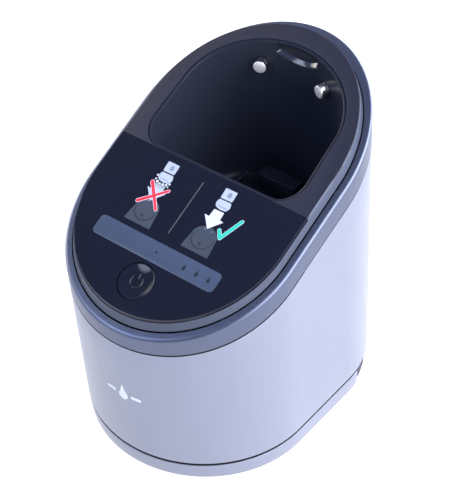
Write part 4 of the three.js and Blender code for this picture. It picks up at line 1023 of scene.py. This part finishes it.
def power_inlet():
    low, high = cad_box("power_inlet")
    middle_z = (low.z + high.z) / 2
    block = prism("inlet_block", rounded_rectangle(16, 10, 1), low.y, high.y, "matte",
                  facing_rear(0, middle_z))
    bevel(block, 0.4)
    mouth = prism("inlet_mouth", rounded_rectangle(11, 6.6, 2.8, 12), high.y - 9, high.y + 3, "matte",
                  facing_rear(0, middle_z))
    boolean(block, [mouth])
    keep(block, "housing", "matte_black", "power_inlet")
    for side, x in (("left", -2.5), ("right", 2.5)):
        profile = [(0, -0.6), (0.8, -0.6), (0.8, 2.5), (0.6, 2.9), (0, 3)]
        pin = turned(f"inlet_pin_{side}", profile, "nickel",
                     Matrix.Translation((x, 0, 0)) @ facing_rear(high.y - 9, middle_z), 32)
        keep(pin, "housing", "bright_steel")


# ---- Start button ----


def start_button():
    radius = BUTTON_RADIUS
    dish_radius = radius - 0.75

    def lift(r):
        return 0.05 - BUTTON_DISH * (1 - (r / dish_radius) ** 2)

    steps = 12
    dish = [(r, lift(r)) for r in (dish_radius * (1 - i / steps) for i in range(steps + 1))]
    profile = [(0, -5), (1.8, -5), (1.8, -4.3), (9.1, -4.3), (9.1, -3.35), (radius, -3.3),
               (radius, -0.3), (radius - 0.06, -0.05), (radius - 0.22, 0.12), (radius - 0.45, 0.14)]
    place = on_top(0, BUTTON_Y)
    keep(turned("start_key", profile + dish, "gloss", place, 96),
         "start_button", "gloss_black", "start_button")
    ring_radius, gap = 2.7, 38
    points = [place @ Vector((x, y, lift(ring_radius) + 0.02))
              for x, y in arc(0, 0, ring_radius, 90 + gap, 450 - gap, 60)]
    symbol = swept("power_arc", points, 0.26, "gloss")
    keep(symbol, "start_button", "gloss_black")
    bar = [place @ Vector((0, y, lift(y) + 0.02)) for y in (1.3, 2.3, 3.4)]
    keep(swept("power_bar", bar, 0.26, "gloss"), "start_button", "gloss_black")


# ---- Print on the panel ----

PRINT_LIFT = 0.01
PRINT_LAYER = 0.012
TOP_NORMAL = Vector((0, -math.sin(SLOPE_ANGLE), math.cos(SLOPE_ANGLE)))


def printed(name, points, look, layer=0):
    """A flat print on the sloped top, from an outline in plan."""
    base = PRINT_LIFT + layer * PRINT_LAYER
    rings = [[Vector((x, y, top_z(y))) + TOP_NORMAL * lift for x, y in points]
             for lift in (base - 0.03, base + PRINT_LAYER * 0.8)]
    return keep(loft(name, rings, look, closed=False), "housing", "gloss_black")


FORESHORTEN = math.cos(SLOPE_ANGLE)  # a length up the slope, in plan


def disc(x, y, radius, stretch=1.0, steps=24):
    """A round or oval outline on the sloped top, in plan."""
    return [(x + radius * math.cos(a), y + radius * stretch * FORESHORTEN * math.sin(a))
            for a in (2 * math.pi * i / steps for i in range(steps))]


def stroke(start, end, width, end_width=None):
    """A round-ended line in plan, from one width to another."""
    end_width = width if end_width is None else end_width
    x0, y0 = start[0], start[1] / FORESHORTEN
    x1, y1 = end[0], end[1] / FORESHORTEN
    heading = math.degrees(math.atan2(y1 - y0, x1 - x0))
    outline = (arc(x1, y1, end_width / 2, heading - 90, heading + 90, 10)
               + arc(x0, y0, width / 2, heading + 90, heading + 270, 10))
    return [(x, y * FORESHORTEN) for x, y in outline]


def rounded(points, radius):
    """Rounds the corners of a convex outline."""
    steps = 5
    made = []
    count = len(points)
    for i, corner in enumerate(points):
        before, after = Vector(points[i - 1]), Vector(points[(i + 1) % count])
        corner = Vector(corner)
        a = corner + (before - corner).normalized() * radius
        b = corner + (after - corner).normalized() * radius
        for k in range(steps + 1):
            t = k / steps
            p = a * (1 - t) ** 2 + corner * 2 * t * (1 - t) + b * t**2
            made.append((p.x, p.y))
    return made


def station_glyph(side, x, y, width):
    """The small picture of the station: a dome with a ring and three dots."""
    half = width / 2
    dome = [(x - half, y), (x + half, y), (x + half * 0.86, y + 6.6)]
    dome += [(x + half * 0.86 * math.cos(a), y + 6.6 + 4.2 * math.sin(a))
             for a in (math.pi * i / 16 for i in range(1, 16))]
    dome += [(x - half * 0.86, y + 6.6)]
    printed(f"glyph_station_{side}", dome, "ink_grey", 0)
    ring = [(x + 5.3 * math.cos(a), y + 6.4 + 4.9 * math.sin(a))
            for a in (math.pi * (1.02 + 0.96 * i / 24) for i in range(25))]
    inner = [(x + 4.9 * math.cos(a), y + 6.4 + 4.5 * math.sin(a))
             for a in (math.pi * (1.98 - 0.96 * i / 24) for i in range(25))]
    printed(f"glyph_ring_{side}", ring + inner, "ink_dark", 1)
    printed(f"glyph_dot_{side}", disc(x, y + 3.6, 0.55), "ink_dark", 1)
    for number, offset in enumerate((-1.7, 1.7), 1):
        printed(f"glyph_contact_{side}_{number}", disc(x + offset, y + 9.4, 0.3), "ink_shade", 1)


def shaver_glyph(side, x, y, foam):
    """The small picture of a shaver, head down, with an arrow under it."""
    handle = rounded([(x - 2.9, y), (x - 2.6, y - 4.2), (x + 3.1, y - 4.1), (x + 2.9, y)], 0.35)
    printed(f"glyph_handle_{side}", handle, "ink_pale", 1)
    printed(f"glyph_key_{side}", disc(x + 0.5, y - 2.1, 1.0, 1.25), "ink_shade", 2)
    head = rounded([(x - 2.7, y - 4.7), (x - 3.1, y - 6.4), (x - 2.4, y - 7.8), (x, y - 8.4),
                    (x + 3.1, y - 8.2), (x + 4.0, y - 6.6), (x + 3.3, y - 4.6)], 0.6)
    printed(f"glyph_head_{side}", head, "ink_pale", 1)
    printed(f"glyph_foil_{side}", stroke((x - 1.6, y - 7.2), (x + 2.6, y - 7.3), 0.35), "ink_shade", 2)
    arrow = [(x - 1.9, y - 9.0), (x + 2.9, y - 8.9), (x + 3.1, y - 11.9), (x + 5.0, y - 12.2),
             (x + 0.5, y - 16.9), (x - 4.4, y - 12.2), (x - 2.2, y - 12.3)]
    printed(f"glyph_arrow_{side}", arrow, "ink_pale" if foam else "ink_white", 2)
    if not foam:
        return
    drops = ((-3.4, -6.6, 0.55), (-3.2, -8.2, 0.5), (-1.9, -8.9, 0.7), (-0.4, -9.3, 0.55),
             (1.2, -9.2, 0.7), (2.7, -8.8, 0.6), (3.9, -8.0, 0.55), (-2.7, -10.0, 0.45),
             (-1.0, -10.3, 0.5), (0.9, -10.5, 0.45), (2.5, -10.1, 0.5), (3.8, -9.3, 0.45))
    for number, (dx, dy, radius) in enumerate(drops, 1):
        printed(f"glyph_foam_rim_{number}", disc(x + dx, y + dy, radius + 0.14, 1, 14), "ink_dark", 3)
        printed(f"glyph_foam_{number}", disc(x + dx, y + dy, radius - 0.08, 1, 14), "ink_white", 4)


def panel_print():
    station_glyph("right", 14.3, -33.3, 13.6)
    shaver_glyph("right", 12.9, -6.7, False)
    station_glyph("left", -15.5, -33.5, 13.4)
    shaver_glyph("left", -17.0, -6.9, True)
    cross = (((-20.7, -16.8), (-11.6, -25.8)), ((-21.4, -25.6), (-11.6, -17.4)))
    for number, (start, end) in enumerate(cross, 1):
        printed(f"cross_edge_{number}", stroke(start, end, 1.9, 1.5), "ink_white", 4 + number)
    for number, (start, end) in enumerate(cross, 1):
        printed(f"cross_{number}", stroke(start, end, 1.45, 1.1), "ink_red", 7 + number)
    tick = ((18.4, -22.0), (20.6, -24.6)), ((20.6, -24.6), (24.9, -15.6))
    for number, (start, end) in enumerate(tick, 1):
        printed(f"tick_edge_{number}", stroke(start, end, 1.7), "ink_white", 4 + number)
    for number, (start, end) in enumerate(tick, 1):
        printed(f"tick_{number}", stroke(start, end, 1.35), "ink_green", 7 + number)
    printed("divider", stroke((-0.3, -31.4), (-0.3, -8.7), 0.35), "ink_line", 0)


def droplet(x, y, size):
    """A drop's outline, point to the rear."""
    outline = arc(0, 0, size, -230, 50, 23) + [(0, 2.6 * size)]
    return [(x + u, y + v * FORESHORTEN) for u, v in outline]


def lens_print():
    printed("status_mark", disc(0.3, -39.7, 0.55), "ink_dark", 0)
    for number, x in enumerate((14.8, 21.1, 27.2), 1):
        printed(f"level_mark_{number}", droplet(x, -40.3, 0.82), "ink_dark", 0)


def on_front(x, z, proud):
    """A point on the front wall, a little proud of it."""
    depth = FRONT_DEPTH * math.sqrt(1 - (x / HALF_WIDTH) ** 2)
    return (x, FRONT_CENTRE_Y - depth - proud, z)


def front_mark():
    """A plain drop between two short bars, in white on the front wall."""
    middle_x, middle_z = 1.5, 42.0
    radius = 2.3
    drop = [(x, y - 1.3) for x, y in arc(0, 0, radius, -232, 52, 32)]
    shapes = [("mark_drop", drop + [(0, 4.9)])]
    for name, x in (("left", -6.4), ("right", 6.4)):
        bar = [(x + u, v - 0.6) for u, v in rounded_rectangle(5.0, 1.6, 0.75, 6)]
        shapes.append((f"mark_bar_{name}", bar))
    for name, outline in shapes:
        rings = [[on_front(middle_x + u, middle_z + v, proud) for u, v in outline]
                 for proud in (-0.02, 0.11)]
        keep(loft(name, rings, "ink_white", closed=False), "housing", "satin_silver")


# ---- Materials of the CAD nodes that stay ----

CAD_LOOKS = {
    "matte": ("base_tray", "spray_nozzle"),
    "rubber": ("bowl_gasket",),
    "grey": ("drain_spout", "contact_holder", "chassis", "suction_pipe", "latch_bar", "tact_switch",
             "pump_impeller"),
    "white": ("pump_housing", "pump_cover", "ribbon_cable"),
    "steel": ("pump_motor", "pump_shaft", "guide_post_left", "guide_post_right",
              "latch_keeper_left", "latch_keeper_right"),
    "copper": ("drying_coil",),
    "contact": ("contact_leaf_left", "contact_leaf_right"),
    "board": ("main_board", "display_board"),
    "tube": ("delivery_tube",),
    "light": ("light_status", "light_level_1", "light_level_2", "light_level_3"),
}


def finish_cad_nodes():
    for look, names in CAD_LOOKS.items():
        for name in names:
            for material_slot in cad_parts[name].material_slots:
                material_slot.material = LOOKS[look]


# ---- Studio ----

SURROUND = (0.20, 0.24, 0.37)
SOFT_PANELS = (
    # Where it is, the cosines where it starts and where it is full, and its colour.
    ((0.93, 0.32, 0.16), 0.35, 0.9, (6.3, 6.4, 6.7)),
    ((-0.97, 0.15, 0.02), 0.8, 0.96, (7.5, 7.0, 6.2)),
    ((0.25, 0.95, 0.12), 0.6, 0.95, (2.2, 2.2, 2.3)),
    ((0.05, 0.98, 0.15), 0.92, 0.98, (6.0, 6.1, 6.4)),
    ((-0.509, -0.662, 0.55), 0.945, 0.975, (3.0, 3.4, 4.2)),
)


def sky():
    """A bluish surround with soft panels, brightest low at the sides and the rear."""
    world = bpy.data.worlds.new("studio")
    bpy.context.scene.world = world
    world.use_nodes = True
    light = Tree(world.node_tree)
    direction = light.node("ShaderNodeTexCoord").outputs["Generated"]
    total = None
    for toward, start, full, color in SOFT_PANELS:
        dot = light.node("ShaderNodeVectorMath", operation="DOT_PRODUCT")
        dot.inputs[1].default_value = Vector(toward).normalized()
        light.link(direction, dot, 0)
        fade = light.node("ShaderNodeMapRange", interpolation_type="SMOOTHSTEP")
        light.set(fade, "From Min", start)
        light.set(fade, "From Max", full)
        light.link(dot.outputs["Value"], fade, "Value")
        tint = light.node("ShaderNodeVectorMath", operation="SCALE")
        tint.inputs[0].default_value = color
        light.link(fade.outputs["Result"], tint, "Scale")
        add = light.node("ShaderNodeVectorMath", operation="ADD")
        add.inputs[0].default_value = SURROUND
        if total:
            light.link(total, add, 0)
        light.link(tint.outputs["Vector"], add, 1)
        total = add.outputs["Vector"]
    light.link(total, light.tree.nodes["Background"], "Color")


def studio():
    bpy.context.scene.view_settings.view_transform = "Standard"
    sky()
    paper = Shader("pale_floor", (0.2, 0.2, 0.21), 0.85,
                   Emission_Color=(0.98, 0.99, 1.0, 1), Emission_Strength=1.0)
    bpy.ops.mesh.primitive_plane_add(size=8, location=(0, 0, -0.0002))
    floor = bpy.context.object
    floor.name = "floor"
    floor.data.materials.append(paper.material)
    data = bpy.data.lights.new("key", "AREA")
    data.shape = "DISK"
    data.size = 0.7
    data.energy = 3
    lamp = bpy.data.objects.new("key", data)
    lamp.location = (1.0, 0.55, 1.1)
    lamp.rotation_euler = (Vector((0, 0, 0.07)) - lamp.location).to_track_quat("-Z", "Y").to_euler()
    bpy.context.scene.collection.objects.link(lamp)


housing_shell()
trim_band()
top_cover()
display_panel()
indicator_lens()
cradle_bowl()
well_furniture()
for pin_name in ("charge_pin_left", "charge_pin_right"):
    charge_pin(pin_name)
drain_sieve()
base_ring()
for number in range(1, 5):
    rubber_foot(f"rubber_foot_{number}")
    base_screw(f"base_screw_{number}")
for side_name in ("left", "right"):
    lift_spring(side_name)
latch_spring()
release_button()
power_inlet()
start_button()
panel_print()
lens_print()
front_mark()
finish_cad_nodes()
studio()
